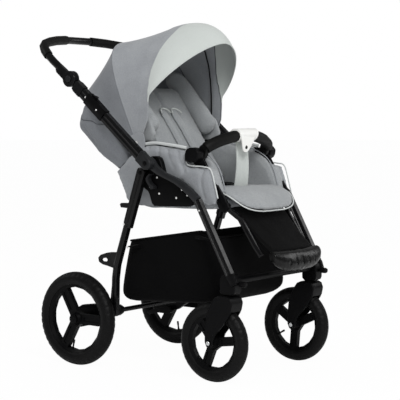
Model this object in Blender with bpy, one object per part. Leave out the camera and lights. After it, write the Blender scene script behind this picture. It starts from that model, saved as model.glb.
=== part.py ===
"""Two-in-one pram with its pushchair seat fitted. Metres, +Z up, the pram faces -Y, its right side is -X."""
import bpy
import bmesh
from math import radians, degrees, sin, cos, asin, pi, exp
from mathutils import Vector

for old in list(bpy.data.objects):
    bpy.data.objects.remove(old, do_unlink=True)

# Driving sizes
WHEELBASE = 0.529
REAR_RADIUS = 0.1525
REAR_TYRE = 0.0240         # radius of the tyre's own section
FRONT_RADIUS = 0.1225
FRONT_TYRE = 0.0210
TRAIL = 0.0514             # the castor axis stands this far in front of the front axle
MIDDLE_SHIFT = -0.0335      # puts the middle of the pram's length over the origin
GAP = 0.0003               # between pieces that seat on each other
RUN = 0.0012               # beside pieces that swing past each other

PLATE_THICK = 0.0200
LEG_WIDTH = 0.0220
LEG_DEPTH = 0.0190
FRONT_LEG_DEPTH = 0.0210
SLEEVE_DEPTH = 0.0310
HANDLE_WIDTH = 0.0220
HANDLE_DEPTH = 0.0330
ARM_WIDTH = 0.0220
BAR_RADIUS = 0.0125
GRIP_RADIUS = 0.0155
BUMPER_RADIUS = 0.0185
PIN_RADIUS = 0.0050
CROSS_RADIUS = 0.0078
AXLE_RADIUS = 0.0060
TENON = 0.0070

SEAT_HALF = 0.1770         # half the width between the seat's side frames
FRAME_THICK = 0.0100
PANEL_THICK = 0.0120       # the padded side panels
CLOTH = 0.0040

# Where things lie, seen from the side as (y, z)
REAR_AXLE = (WHEELBASE / 2, REAR_RADIUS)
FRONT_AXLE = (-WHEELBASE / 2, FRONT_RADIUS)
CASTOR_Y = FRONT_AXLE[0] - TRAIL
HANDLE_PIVOT = (-0.0360, 0.6650)
HANDLE_SLOPE = 40.2
HANDLE_LENGTH = 0.4110     # from the pivot to the angle joint
LEG_PIVOT = (0.0030, 0.6330)
ARM_PIVOT = (REAR_AXLE[0] - 0.1270, REAR_AXLE[1] + 0.0305)
FRONT_LEG_TOP = (-0.2154, 0.5550)
FRONT_LEG_FOOT = (CASTOR_Y - 0.0196, 0.3350)
HOOD_PIVOT = (0.0600, 0.7150)
BACK_HINGE = (0.0800, 0.5900)
BUMPER_HINGE = (-0.1730, 0.6920)
FOOT_HINGE = (-0.2650, 0.5330)

# Planes across the width, as distances from the middle, all set by the width of the seat
HOOD_HALF = SEAT_HALF + 0.0215
PLATE_INNER = HOOD_HALF + 0.0195
PLATE_OUTER = PLATE_INNER + PLATE_THICK
LEG_X = PLATE_OUTER + GAP + LEG_WIDTH / 2
LEG_OUTER = LEG_X + LEG_WIDTH / 2
REAR_HALF_TRACK = LEG_X + 0.0119
FRONT_HALF_TRACK = LEG_X - 0.0180
HANDLE_X = LEG_OUTER + RUN + HANDLE_WIDTH / 2
HANDLE_INNER = HANDLE_X - HANDLE_WIDTH / 2
LEG_FOOT_X = REAR_HALF_TRACK - REAR_TYRE - RUN - LEG_WIDTH / 2
LEG_FOOT_INNER = LEG_FOOT_X - LEG_WIDTH / 2
ARM_X = LEG_FOOT_INNER - GAP - ARM_WIDTH / 2
FRAME_X = SEAT_HALF + GAP + FRAME_THICK / 2
FRAME_OUTER = FRAME_X + FRAME_THICK / 2
PANEL_X = HOOD_HALF - CLOTH - RUN + PANEL_THICK / 2

BLACK = ("black plastic", (0.010, 0.010, 0.011), 0.45, 0.0)
STEEL = ("black coated tube", (0.012, 0.012, 0.013), 0.32, 0.4)
GREY = ("grey plastic", (0.060, 0.060, 0.062), 0.42, 0.0)
RUBBER = ("tyre rubber", (0.014, 0.014, 0.015), 0.75, 0.0)
FOAM = ("handle foam", (0.012, 0.012, 0.012), 0.85, 0.0)
BRIGHT = ("zinc plated steel", (0.62, 0.62, 0.62), 0.28, 1.0)
MELANGE = ("grey melange cloth", (0.235, 0.242, 0.255), 0.95, 0.0)
PALE = ("pale grey cloth", (0.485, 0.515, 0.500), 0.9, 0.0)
WHITE = ("white leatherette", (0.80, 0.81, 0.80), 0.6, 0.0)
BLACK_CLOTH = ("black cloth", (0.010, 0.010, 0.012), 0.95, 0.0)

pram = bpy.data.objects.new("pram", None)
bpy.context.scene.collection.objects.link(pram)
pram.location = (0, MIDDLE_SHIFT, 0)
SIDES = ((-1, "right"), (1, "left"))


def finish(name, colour, rough, metal):
    """The material of that name, made once."""
    made = bpy.data.materials.get(name)
    if made:
        return made
    made = bpy.data.materials.new(name)
    made.use_nodes = True
    shader = made.node_tree.nodes["Principled BSDF"]
    shader.inputs["Base Color"].default_value = (*colour, 1)
    shader.inputs["Roughness"].default_value = rough
    shader.inputs["Metallic"].default_value = metal
    return made


def home_of(carrier):
    return Vector(carrier["home"]) if "home" in carrier else Vector((0, 0, 0))


def joint(name, x, side_point, carrier=pram):
    """An empty on a joint's axis, which carries what moves with it."""
    empty = bpy.data.objects.new(name, None)
    bpy.context.scene.collection.objects.link(empty)
    empty.parent = carrier
    place = Vector((x, *side_point))
    empty["home"] = place
    empty.location = place - home_of(carrier)
    return empty


def solid(name, bodies, look, carrier=pram, form="capped", smooth=35):
    """An object of one or more closed bodies, each a list of rings of points.
    capped: the first and last rings are closed by faces. looped: the last ring joins the first.
    sheet: each ring is an outer row followed by the inner row reversed, and its ends are closed by strips."""
    origin = home_of(carrier)
    mesh = bpy.data.meshes.new(name)
    bm = bmesh.new()
    for body in bodies:
        rows = [[bm.verts.new(Vector(p) - origin) for p in ring] for ring in body]
        pairs = list(zip(rows, rows[1:]))
        if form == "looped":
            pairs.append((rows[-1], rows[0]))
        for one, two in pairs:
            for i in range(len(one)):
                j = (i + 1) % len(one)
                bm.faces.new((one[i], one[j], two[j], two[i]))
        if form == "capped":
            bm.faces.new(rows[0])
            bm.faces.new(list(reversed(rows[-1])))
        if form == "sheet":
            for row in (rows[0], rows[-1]):
                n = len(row)
                for i in range(n // 2 - 1):
                    bm.faces.new((row[i], row[i + 1], row[n - 2 - i], row[n - 1 - i]))
    bmesh.ops.recalc_face_normals(bm, faces=bm.faces)
    bm.to_mesh(mesh)
    bm.free()
    mesh.materials.append(finish(*look))
    mesh.shade_smooth()
    mesh.set_sharp_from_angle(angle=radians(smooth))
    made = bpy.data.objects.new(name, mesh)
    bpy.context.scene.collection.objects.link(made)
    made.parent = carrier
    return made


def cut(body, cutter, keep=False, solver="EXACT"):
    """Takes the cutter's shape out of the body, or with keep joins it on."""
    step = body.modifiers.new(cutter.name, "BOOLEAN")
    step.object = cutter
    step.operation = "UNION" if keep else "DIFFERENCE"
    step.solver = solver
    cutter.hide_render = True
    cutter.display_type = "WIRE"
    return body


def side(outline, x):
    """An outline drawn from the side, set at a distance from the middle."""
    return [(x, y, z) for y, z in outline]


def shrink(outline, amount):
    """The outline moved inwards by that amount, corner by corner."""
    area = sum(a[0] * b[1] - b[0] * a[1] for a, b in zip(outline, outline[1:] + outline[:1]))
    turn = 1 if area > 0 else -1
    moved = []
    for i, here in enumerate(outline):
        before = (Vector(here) - Vector(outline[i - 1])).normalized()
        after = (Vector(outline[(i + 1) % len(outline)]) - Vector(here)).normalized()
        both = Vector((-before.y - after.y, before.x + after.x)) * turn
        moved.append(tuple(Vector(here) + both * (amount / max(0.5, both.length_squared / 2))))
    return moved


def slab(outline, x0, x1, rim=0.0):
    """Rings of a plate with that outline between two planes, its rims drawn in by a small amount."""
    if not rim:
        return [side(outline, x0), side(outline, x1)]
    inner = shrink(outline, rim)
    step = rim if x1 > x0 else -rim
    return [side(inner, x0), side(outline, x0 + step), side(outline, x1 - step), side(inner, x1)]


def rounded(corners, radius, steps=3):
    """A closed outline with its corners rounded off by short curves."""
    points = []
    for i, here in enumerate(corners):
        here = Vector(here)
        a = Vector(corners[i - 1]) - here
        b = Vector(corners[(i + 1) % len(corners)]) - here
        reach = min(radius, a.length * 0.45, b.length * 0.45)
        start = here + a.normalized() * reach
        end = here + b.normalized() * reach
        for k in range(steps + 1):
            t = k / steps
            points.append(tuple(start * (1 - t) ** 2 + here * 2 * t * (1 - t) + end * t ** 2))
    return points


def circle(centre, radius, count=24):
    """A circle drawn from the side."""
    return [(centre[0] + radius * cos(2 * pi * k / count),
             centre[1] + radius * sin(2 * pi * k / count)) for k in range(count)]


def disc(centre, radius, x0, x1, count=24, rim=0.0):
    return slab(circle(centre, radius, count), x0, x1, rim)


def drill(name, centre, radius, x0, x1):
    return solid(name, [disc(centre, radius, x0, x1, 12)], BLACK)


def turned(profile, x, centre, count=24):
    """Rings of a body turned about a line along X. The profile is a loop of (outward, radius)."""
    sign = 1 if x > 0 else -1
    rings = []
    for k in range(count):
        a = 2 * pi * k / count - pi / 2
        rings.append([(x + sign * w, centre[0] + r * cos(a), centre[1] + r * sin(a)) for w, r in profile])
    return rings


def polar(centre, radius, angle):
    """A point at that distance and angle from a centre, seen from the side."""
    return (centre[0] + radius * cos(radians(angle)), centre[1] + radius * sin(radians(angle)))


def mix(a, b, t):
    return tuple(p + (q - p) * t for p, q in zip(a, b))


def smooth_path(points, count):
    """Points along a smooth curve through the given ones."""
    pts = [Vector(p) for p in points]
    pts = [pts[0] * 2 - pts[1]] + pts + [pts[-1] * 2 - pts[-2]]
    spans = len(pts) - 3
    path = []
    for k in range(count):
        t = k / (count - 1) * spans
        i = min(int(t), spans - 1)
        t -= i
        a, b, c, d = pts[i:i + 4]
        path.append((b * 2 + (c - a) * t + (a * 2 - b * 5 + c * 4 - d) * t ** 2
                     + (b * 3 - a - c * 3 + d) * t ** 3) * 0.5)
    return path


def even(points, count):
    """The same line through that many points at equal steps along it."""
    pts = [Vector(p) for p in points]
    run = [0.0]
    for a, b in zip(pts, pts[1:]):
        run.append(run[-1] + (b - a).length)
    found = []
    i = 0
    for k in range(count):
        want = run[-1] * k / (count - 1)
        while i < len(pts) - 2 and run[i + 1] < want:
            i += 1
        t = (want - run[i]) / max(1e-9, run[i + 1] - run[i])
        found.append(pts[i].lerp(pts[i + 1], min(1.0, t)))
    return found


def both_sides(half):
    """A line drawn on the left, from its end to the middle, continued to the other side."""
    half = [Vector(p) for p in half]
    return half + [Vector((-p.x, p.y, p.z)) for p in reversed(half[:-1])]


def along(path, sections):
    """Rings of sections of (sideways, across) offsets carried along a path, square to it."""
    path = [Vector(p) for p in path]
    rings = []
    for i, here in enumerate(path):
        run = Vector((0, 0, 0))
        if i:
            run += (here - path[i - 1]).normalized()
        if i < len(path) - 1:
            run += (path[i + 1] - here).normalized()
        run.normalize()
        wide = Vector((1, 0, 0))
        wide = (wide - run * wide.dot(run)).normalized()
        deep = run.cross(wide)
        rings.append([tuple(here + wide * w + deep * d) for w, d in sections[min(i, len(sections) - 1)]])
    return rings


def carried(path, radius, sides=10):
    """Rings of a round tube along a path that may turn any way."""
    path = [Vector(p) for p in path]
    rings = []
    wide = None
    for i, here in enumerate(path):
        run = (path[min(i + 1, len(path) - 1)] - path[max(i - 1, 0)]).normalized()
        if wide is None:
            wide = Vector((0, 0, 1)) if abs(run.z) < 0.9 else Vector((0, 1, 0))
        wide = (wide - run * wide.dot(run)).normalized()
        deep = run.cross(wide)
        rings.append([tuple(here + (wide * cos(2 * pi * k / sides) + deep * sin(2 * pi * k / sides)) * radius)
                      for k in range(sides)])
    return rings


def round_section(radius, sides=12):
    return [(radius * cos(2 * pi * k / sides), radius * sin(2 * pi * k / sides)) for k in range(sides)]


def oval_section(width, depth, sides=12):
    """A rounded oblong section."""
    pts = []
    for k in range(sides):
        a = 2 * pi * (k + 0.5) / sides
        c, s = cos(a), sin(a)
        w = abs(c) ** 0.6 * (1 if c > 0 else -1)
        d = abs(s) ** 0.6 * (1 if s > 0 else -1)
        pts.append((width / 2 * w, depth / 2 * d))
    return pts


def ridged_section(width, depth, groove=0.0016):
    """A profiled tube's section: rounded edges and, on each flat, two ridges beside a groove."""
    w, d = width / 2, depth / 2
    right = [(w * 0.8, d), (w, d * 0.40), (w - groove, d * 0.22)]
    right += [(a, -b) for a, b in reversed(right)]
    return right + [(-a, -b) for a, b in right]


def tenon_tube(start, end, section, radius, length):
    """A straight tube with a round tenon at each end that sits in the next piece."""
    start, end = Vector(start), Vector(end)
    run = (end - start).normalized()
    peg = [tuple(Vector(p).normalized() * radius) for p in section]
    path = [start - run * length, start, start + run * 0.0001, end - run * 0.0001, end, end + run * length]
    return along(path, [peg, peg, section, section, peg, peg])


def bore_along(name, start, end, radius, sides=12):
    return solid(name, [along([start, end], [round_section(radius, sides)])], BLACK)


def pillow(centre, wide, long, thick, columns=10, rows=10, crown=2.6, draw=0.03, channels=(), depth=0.0):
    """Rings of a stuffed pad: crowned faces, sides drawn in between the corners, sewn channels on its top.
    wide, long and thick are vectors of its whole width, length and thickness."""
    centre, wide, long, thick = Vector(centre), Vector(wide), Vector(long), Vector(thick)
    rings = []
    for r in range(rows + 1):
        v = max(-0.985, min(0.985, -cos(pi * r / rows)))
        end = (1 - abs(v) ** crown) ** (1 / crown)
        ring = []
        for k in range(2 * columns):
            top = k < columns
            u = -cos(pi * (k % columns) / columns) * (1 if top else -1)
            edge = (1 - min(1.0, abs(u)) ** crown) ** (1 / crown)
            height = 0.5 * edge * end
            if top:
                for at, spread in channels:
                    height -= depth * exp(-((u - at) / spread) ** 2) * edge * end
            reach = 1 - draw * (1 - v * v)
            stretch = 1 - draw * (1 - u * u)
            p = centre + wide * (0.5 * u * reach) + long * (0.5 * v * stretch)
            ring.append(tuple(p + thick * height * (1 if top else -1)))
        rings.append(ring)
    return rings


def stuffed(outline, x0, x1, ease=0.08, steps=6, power=2.6):
    """Rings across the width of a stuffed body with that outline, its cheeks rounded off."""
    cy = (min(p[0] for p in outline) + max(p[0] for p in outline)) / 2
    cz = (min(p[1] for p in outline) + max(p[1] for p in outline)) / 2
    rings = []
    for k in range(steps + 1):
        u = abs(cos(pi * k / steps))
        f = 1 - ease * (1 - max(0.0, 1 - u ** power) ** (1 / power))
        cheek = [(cy + (y - cy) * f, cz + (z - cz) * f) for y, z in outline]
        rings.append(side(cheek, x0 + (x1 - x0) * (1 - cos(pi * k / steps)) / 2))
    return rings


# Wheels

def rim_profile(radius, tyre, bore, hub_in, hub_out):
    """Half section of a moulded wheel: hub, web and the channel that the tyre sits in."""
    seat = radius - 1.69 * tyre
    inside = seat - 0.0055
    w = 0.70 * tyre
    return [(hub_in, bore), (hub_in, 0.0150), (-0.0085, 0.0200), (-0.0085, inside - 0.003), (-w, seat),
            (w, seat), (0.0090, inside - 0.003), (0.0090, 0.0215), (hub_out, 0.0165), (hub_out, bore)]


def tyre_profile(radius, tyre, count=8):
    """Section of a tyre with a flat bead towards the rim."""
    middle = radius - tyre
    start = -asin(0.69) + 0.02
    points = []
    for k in range(count + 1):
        a = start + (pi - 2 * start) * k / count
        points.append((tyre * cos(a), middle + tyre * sin(a)))
    return points


def spoke_windows(radius, tyre, angles, half_spoke, x, centre, name):
    """Three openings between the spokes and a shallow channel along each spoke, as one cutter."""
    sign = 1 if x > 0 else -1
    outer = radius - 1.69 * tyre - 0.0085
    near = 0.0270
    a0 = degrees(asin(half_spoke / outer))
    b0 = degrees(asin(half_spoke / near))
    bodies = []
    for n, angle in enumerate(angles):
        span = (angles[(n + 1) % len(angles)] - angle) % 360
        corners = [polar(centre, outer, angle + a0 + (span - 2 * a0) * k / 5) for k in range(6)]
        corners += [polar(centre, near, angle + span - b0), polar(centre, near, angle + b0)]
        bodies.append(slab(corners, x - 0.04, x + 0.04))
        far = outer - 0.006
        line = [polar(centre, far, angle + 4), polar(centre, far, angle - 4),
                polar(centre, 0.034, angle - 11), polar(centre, 0.034, angle + 11)]
        bodies.append(slab(line, x + sign * 0.0066, x + sign * 0.03))
    return solid(name, bodies, BLACK)


def wheel(tag, hand, s, axle, radius, tyre, half_track, angles, half_spoke, bore, hub_in, hub_out, carrier):
    x = s * half_track
    profile = rim_profile(radius, tyre, bore, hub_in, hub_out)
    rim = solid(f"{tag}_rim_{hand}", [turned(profile, x, axle)], BLACK, carrier, "looped")
    cut(rim, spoke_windows(radius, tyre, angles, half_spoke, x, axle, f"{tag}_windows_{hand}"))
    solid(f"{tag}_tyre_{hand}", [turned(tyre_profile(radius, tyre), x, axle)], RUBBER, carrier, "looped")


# Side plates with the ledges that the seat hangs on, their pins and the lock levers

def plate_outline():
    """The side panel: a bridge from the handle joint to the front leg, with the arch below the joint."""
    hy, hz = HANDLE_PIVOT
    ly, lz = LEG_PIVOT
    return rounded([(hy + 0.018, hz + 0.020), (ly + 0.020, lz + 0.012), (ly + 0.020, lz - 0.014),
                    (ly + 0.006, lz - 0.048), (ly - 0.008, lz - 0.052), (ly - 0.018, lz - 0.062),
                    (ly - 0.024, lz - 0.082), (ly - 0.032, lz - 0.103), (ly - 0.048, lz - 0.103),
                    (ly - 0.177, lz - 0.100), (ly - 0.191, lz - 0.088), (ly - 0.187, lz - 0.078),
                    (ly - 0.142, lz - 0.047), (ly - 0.107, lz - 0.007), (ly - 0.078, lz - 0.005),
                    (hy - 0.026, hz + 0.006), (hy - 0.016, hz + 0.022)], 0.008, 1)


def pin(centre, x0, x1, head):
    """A round pin with a low domed head at its outer end."""
    sign = 1 if x1 > x0 else -1
    return [side(circle(centre, PIN_RADIUS, 12), x0), side(circle(centre, PIN_RADIUS, 12), x1),
            side(circle(centre, head, 12), x1 + sign * 0.0001), side(circle(centre, head, 12), x1 + sign * 0.0010),
            side(circle(centre, head * 0.6, 12), x1 + sign * 0.0020)]


LEDGE_TOP = LEG_PIVOT[1] - 0.034
LEDGE = (-0.100, -0.040)
HANDLE_FACE = HANDLE_X + HANDLE_WIDTH / 2 + 0.0015
for s, hand in SIDES:
    plate = solid(f"side_plate_{hand}", [slab(plate_outline(), s * PLATE_INNER, s * PLATE_OUTER, 0.002)], BLACK)
    ledge = [(LEDGE[0], LEDGE_TOP), (LEDGE[1], LEDGE_TOP), (LEDGE[1], LEDGE_TOP - 0.020), (LEDGE[0], LEDGE_TOP - 0.020)]
    ledge = slab(rounded(ledge, 0.003, 1), s * (FRAME_OUTER + 0.008), s * (PLATE_INNER + 0.004))
    cut(plate, solid(f"seat_ledge_{hand}", [ledge], BLACK), True)
    for what, centre, outer, head in (("handle", HANDLE_PIVOT, HANDLE_FACE, 0.0078), ("leg", LEG_PIVOT, LEG_OUTER, 0.0068)):
        shaft = pin(centre, s * (PLATE_INNER + 0.002), s * (outer + GAP), head)
        cut(plate, solid(f"{what}_pin_{hand}", [shaft], BRIGHT), True)

for s, hand in SIDES:
    root = (LEG_PIVOT[0] - 0.0440, LEG_PIVOT[1] - 0.0410)
    lever = joint(f"lock_lever_{hand}_axis", 0, root)
    spine = [(0.0, -0.008, 0.0050), (0.001, 0.0, 0.0085), (0.010, 0.008, 0.0055), (0.0180, 0.017, 0.0045),
             (0.0190, 0.026, 0.0042), (0.0140, 0.033, 0.0038), (0.0060, 0.0390, 0.0028)]
    outline = [(root[0] + y - w, root[1] + z) for y, z, w in spine]
    outline += [(root[0] + y + w, root[1] + z) for y, z, w in reversed(spine)]
    body = slab(outline, s * (PLATE_OUTER + GAP), s * (LEG_OUTER - 0.002), 0.0008)
    solid(f"lock_lever_{hand}", [body], GREY, lever)

# Front legs in their sleeves, castor housings and the tube between them

leg_section = ridged_section(LEG_WIDTH, FRONT_LEG_DEPTH)
leg_run = Vector((0, *(Vector(FRONT_LEG_FOOT) - Vector(FRONT_LEG_TOP)).normalized()))
sleeve_path = [HANDLE_PIVOT, (-0.0530, 0.6470), (-0.0800, 0.6320), (-0.1081, 0.6215), (-0.1431, 0.6075),
               (-0.1777, 0.5855), FRONT_LEG_TOP]
sleeve_depths = [0.022, 0.030, 0.027, 0.022, 0.018, 0.018, 0.020, 0.022, 0.024, 0.024]
for s, hand in SIDES:
    line = smooth_path([(s * LEG_X, y, z) for y, z in sleeve_path], 9)
    line = [line[0] + (line[0] - line[1]).normalized() * 0.016] + line
    sleeve = solid(f"leg_sleeve_{hand}", [along(line, [oval_section(LEG_WIDTH, d, 10) for d in sleeve_depths])], GREY)
    cut(sleeve, drill(f"sleeve_pin_hole_{hand}", HANDLE_PIVOT, PIN_RADIUS + GAP, s * (LEG_X - 0.03), s * (LEG_X + 0.05)))
    top = Vector((s * LEG_X, *FRONT_LEG_TOP))
    foot = Vector((s * LEG_X, *FRONT_LEG_FOOT))
    cut(sleeve, bore_along(f"sleeve_socket_{hand}", top - leg_run * 0.0165, top + leg_run * 0.01, TENON + GAP, 12))
    wide = oval_section(LEG_WIDTH + 0.010, FRONT_LEG_DEPTH + 0.014, 12)
    cut(sleeve, solid(f"sleeve_end_{hand}", [along([top, top + leg_run * 0.020], [wide])], GREY))
    solid(f"front_leg_{hand}", [tenon_tube(top + leg_run * GAP, foot, leg_section, TENON, 0.016)], STEEL)

CROWN_TOP = 0.2697
HOUSING_FOOT = CROWN_TOP + 0.0026
HOUSING_TOP = 0.3350
HOUSING_HALF = 0.0185
FRONT_TUBE = (CASTOR_Y - 0.012, 0.3140)
KNOB = (CASTOR_Y - 0.0500, 0.3075)
housing_outline = rounded([(CASTOR_Y + 0.0180, HOUSING_FOOT), (CASTOR_Y + 0.0190, HOUSING_TOP - 0.010),
                           (CASTOR_Y + 0.008, HOUSING_TOP), (CASTOR_Y - 0.026, HOUSING_TOP),
                           (CASTOR_Y - 0.036, HOUSING_TOP - 0.010), (CASTOR_Y - 0.037, HOUSING_FOOT + 0.008),
                           (CASTOR_Y - 0.028, HOUSING_FOOT)], 0.008, 1)
TUBE_END = FRONT_HALF_TRACK - HOUSING_HALF + 0.010
housings = []
for s, hand in SIDES:
    x = s * FRONT_HALF_TRACK
    housings.append(slab(housing_outline, x - HOUSING_HALF, x + HOUSING_HALF, 0.002))
housing = solid("front_beam", [disc(FRONT_TUBE, 0.0100, -TUBE_END, TUBE_END, 12)], BLACK)
cut(housing, solid("castor_blocks", housings, BLACK), True)
for s, hand in SIDES:
    x = s * FRONT_HALF_TRACK
    foot = Vector((s * LEG_X, *FRONT_LEG_FOOT))
    room = along([foot - leg_run * 0.030, foot + leg_run * GAP * 0.5], [oval_section(LEG_WIDTH + 0.004, FRONT_LEG_DEPTH + 0.004)])
    cut(housing, solid(f"leg_room_{hand}", [room], BLACK))
    collar = along([foot + leg_run * GAP, foot + leg_run * 0.006, foot + leg_run * 0.034],
                   [oval_section(LEG_WIDTH, LEG_DEPTH + 0.004), oval_section(LEG_WIDTH, LEG_DEPTH + 0.008),
                    oval_section(LEG_WIDTH - 0.006, LEG_DEPTH)])
    cut(housing, solid(f"leg_collar_{hand}", [collar], BLACK), True)
    cut(housing, bore_along(f"leg_socket_{hand}", foot - leg_run * 0.01, foot + leg_run * 0.0163, TENON + GAP, 12))
    stem = [(x + 0.0094 * cos(2 * pi * k / 12), CASTOR_Y + 0.0094 * sin(2 * pi * k / 12)) for k in range(12)]
    hole = [[(a, b, HOUSING_FOOT - 0.01) for a, b in stem], [(a, b, HOUSING_TOP - 0.020) for a, b in stem]]
    cut(housing, solid(f"stem_hole_{hand}", [hole], BLACK))
    ring = [(x + 0.0053 * cos(2 * pi * k / 12), KNOB[1] + 0.0053 * sin(2 * pi * k / 12)) for k in range(12)]
    hole = [[(a, KNOB[0] + 0.0225, b) for a, b in ring], [(a, KNOB[0] - 0.020, b) for a, b in ring]]
    cut(housing, solid(f"knob_hole_{hand}", [hole], BLACK))

for s, hand in SIDES:
    x = s * FRONT_HALF_TRACK
    lock = joint(f"swivel_lock_{hand}_axis", x, KNOB)
    rings = []
    for out, r in ((-0.0220, 0.0050), (-0.0066, 0.0050), (-0.0065, 0.0090), (0.0110, 0.0090), (0.0160, 0.0070)):
        rings.append([(x + r * cos(2 * pi * k / 12), KNOB[0] - out, KNOB[1] + r * sin(2 * pi * k / 12)) for k in range(12)])
    solid(f"swivel_lock_{hand}", [rings], BLACK, lock)

# Basket: an open bowl of cloth with hangers at its corners

BASKET_HALF = SEAT_HALF + 0.0180
levels = [(0.112, -0.214, 0.405, 0.457, BASKET_HALF), (0.126, -0.232, 0.330, 0.375, BASKET_HALF - 0.001),
          (0.138, -0.258, 0.258, 0.290, BASKET_HALF - 0.005), (0.128, -0.256, 0.226, 0.256, BASKET_HALF - 0.011),
          (0.090, -0.200, 0.212, 0.222, BASKET_HALF - 0.031)]
FRONT_DIP = 0.0260         # the front wall is lower than the side walls


def basket_ring(rear_y, front_y, rear_z, front_z, half, inset):
    """One level of the basket as a rounded oblong seen from above."""
    corners = rounded([(half - inset, rear_y - inset), (half - inset, front_y + inset),
                       (-half + inset, front_y + inset), (-half + inset, rear_y - inset)], 0.034, 3)
    lift = inset if rear_z < 0.22 else 0
    ring = []
    for x, y in corners:
        t = (y - rear_y) / (front_y - rear_y)
        dip = FRONT_DIP * min(1.0, (half - abs(x)) / 0.034) if y < 0 and front_z > 0.4 else 0
        ring.append((x, y, rear_z + (front_z - rear_z) * t + lift - dip))
    return ring


outside = [basket_ring(*level, 0.0) for level in reversed(levels)]
inside = [basket_ring(*level, 0.0035) for level in levels]
basket = solid("basket", [outside + inside], BLACK_CLOTH)
for s, hand in SIDES:
    reach = s * (LEG_X - LEG_WIDTH / 2 - RUN)
    root = s * (BASKET_HALF - 0.002)
    for tag, y, z, far in (("front", -0.1700, 0.4420, -0.2500), ("rear", 0.0600, 0.4020, 0.0650)):
        strap = [[(root, y + 0.010, z - 0.012), (root, y + 0.010, z - 0.002), (root, y - 0.010, z), (root, y - 0.010, z - 0.012)],
                 [(reach, far + 0.010, z - 0.008), (reach, far + 0.010, z - 0.003), (reach, far - 0.010, z - 0.003),
                  (reach, far - 0.010, z - 0.008)]]
        cut(basket, solid(f"basket_hanger_{tag}_{hand}", [strap], BLACK_CLOTH), True)

# Handle: tubes in grey sockets, the angle joints, the bar with its grips

handle = joint("handle_frame", 0, HANDLE_PIVOT)
lean = Vector((cos(radians(HANDLE_SLOPE)), sin(radians(HANDLE_SLOPE))))


def on_handle(run, across=0.0):
    """A point beside the handle tube, seen from the side."""
    p = Vector(HANDLE_PIVOT) + lean * run + Vector((-lean.y, lean.x)) * across
    return (p.x, p.y)


def beside(points):
    return [on_handle(a, b) for a, b in points]


JOINT = on_handle(HANDLE_LENGTH)
JOINT_RADIUS = 0.0262
SOCKET_TOP = 0.0366
COLLAR = 0.0680
tube_section = ridged_section(HANDLE_WIDTH, HANDLE_DEPTH)
for s, hand in SIDES:
    x = s * HANDLE_X
    low = (x, *on_handle(SOCKET_TOP + GAP))
    high = (x, *on_handle(HANDLE_LENGTH - COLLAR + 0.010))
    tube = solid(f"handle_tube_{hand}", [tenon_tube(low, high, tube_section, TENON, 0.018)], STEEL, handle)
    plate = slab(circle(JOINT, JOINT_RADIUS, 18), s * HANDLE_INNER, s * (HANDLE_X - GAP / 2))
    cut(tube, solid(f"joint_disc_{hand}", [plate], BLACK), True)
    block = beside([(HANDLE_LENGTH - a, b) for a, b in ((0.0285, -0.0150), (0.0285, 0.0150), (0.040, 0.0185), (COLLAR, 0.0185),
                                                        (COLLAR, -0.0185), (0.040, -0.0185))])
    block = slab(block, s * (HANDLE_INNER + 0.0004), s * (HANDLE_X + HANDLE_WIDTH / 2 + 0.0004))
    cut(tube, solid(f"joint_collar_{hand}", [block], BLACK), True)
    neck = beside([(HANDLE_LENGTH - a, b) for a, b in ((0.015, -0.0160), (0.015, 0.0160), (0.045, 0.0160), (0.045, -0.0160))])
    neck = slab(neck, s * (HANDLE_INNER + 0.001), s * (HANDLE_X - 0.0012))
    cut(tube, solid(f"joint_neck_{hand}", [neck], BLACK), True)
    outline = beside(((SOCKET_TOP, -0.0195), (SOCKET_TOP, 0.0195), (-0.006, 0.0190), (-0.018, 0.0120),
                      (-0.0225, 0.0), (-0.018, -0.0120), (-0.006, -0.0190)))
    socket = solid(f"tube_socket_{hand}", [slab(outline, s * HANDLE_INNER, s * HANDLE_FACE, 0.002)], GREY, handle)
    cut(socket, drill(f"socket_pin_hole_{hand}", HANDLE_PIVOT, PIN_RADIUS + GAP, s * (HANDLE_X - 0.03), s * (HANDLE_X + 0.03)))
    low = (x, *on_handle(SOCKET_TOP - 0.0183))
    high = (x, *on_handle(SOCKET_TOP + 0.01))
    cut(socket, bore_along(f"socket_bore_{hand}", low, high, TENON + GAP, 12))

SLIDER = (HANDLE_LENGTH - 0.1860, HANDLE_LENGTH - 0.0960)
for s, hand in SIDES:
    x = s * HANDLE_X
    slide = joint(f"release_slider_{hand}_axis", x, on_handle(SLIDER[0]), handle)
    outer = along([(x, *on_handle(SLIDER[0])), (x, *on_handle(SLIDER[1]))],
                  [ridged_section(HANDLE_WIDTH + 0.0050, HANDLE_DEPTH + 0.0050, -0.0008)])
    body = solid(f"release_slider_{hand}", [outer], BLACK, slide)
    hook = beside([(SLIDER[0] + a, b) for a, b in ((0.037, 0.015), (0.081, 0.015), (0.078, 0.022), (0.065, 0.027),
                                                     (0.057, 0.027), (0.061, 0.021), (0.041, 0.020))])
    cut(body, solid(f"storage_hook_{hand}", [slab(hook, s * (HANDLE_X - 0.005), s * (HANDLE_X + 0.005))], BLACK), True)
    hole = ridged_section(HANDLE_WIDTH + 0.0008, HANDLE_DEPTH + 0.0008, 0.0002)
    hole = along([(x, *on_handle(SLIDER[0] - 0.01)), (x, *on_handle(SLIDER[1] + 0.01))], [hole])
    cut(body, solid(f"slider_hole_{hand}", [hole], BLACK))
    far = beside([(SLIDER[0] - 0.01, -0.05), (SLIDER[0] - 0.01, 0.05), (SLIDER[1] + 0.01, 0.05), (SLIDER[1] + 0.01, -0.05)])
    cut(body, solid(f"slider_mouth_{hand}", [slab(far, s * (HANDLE_INNER - 0.02), s * (HANDLE_INNER + 0.0003))], BLACK))

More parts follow.
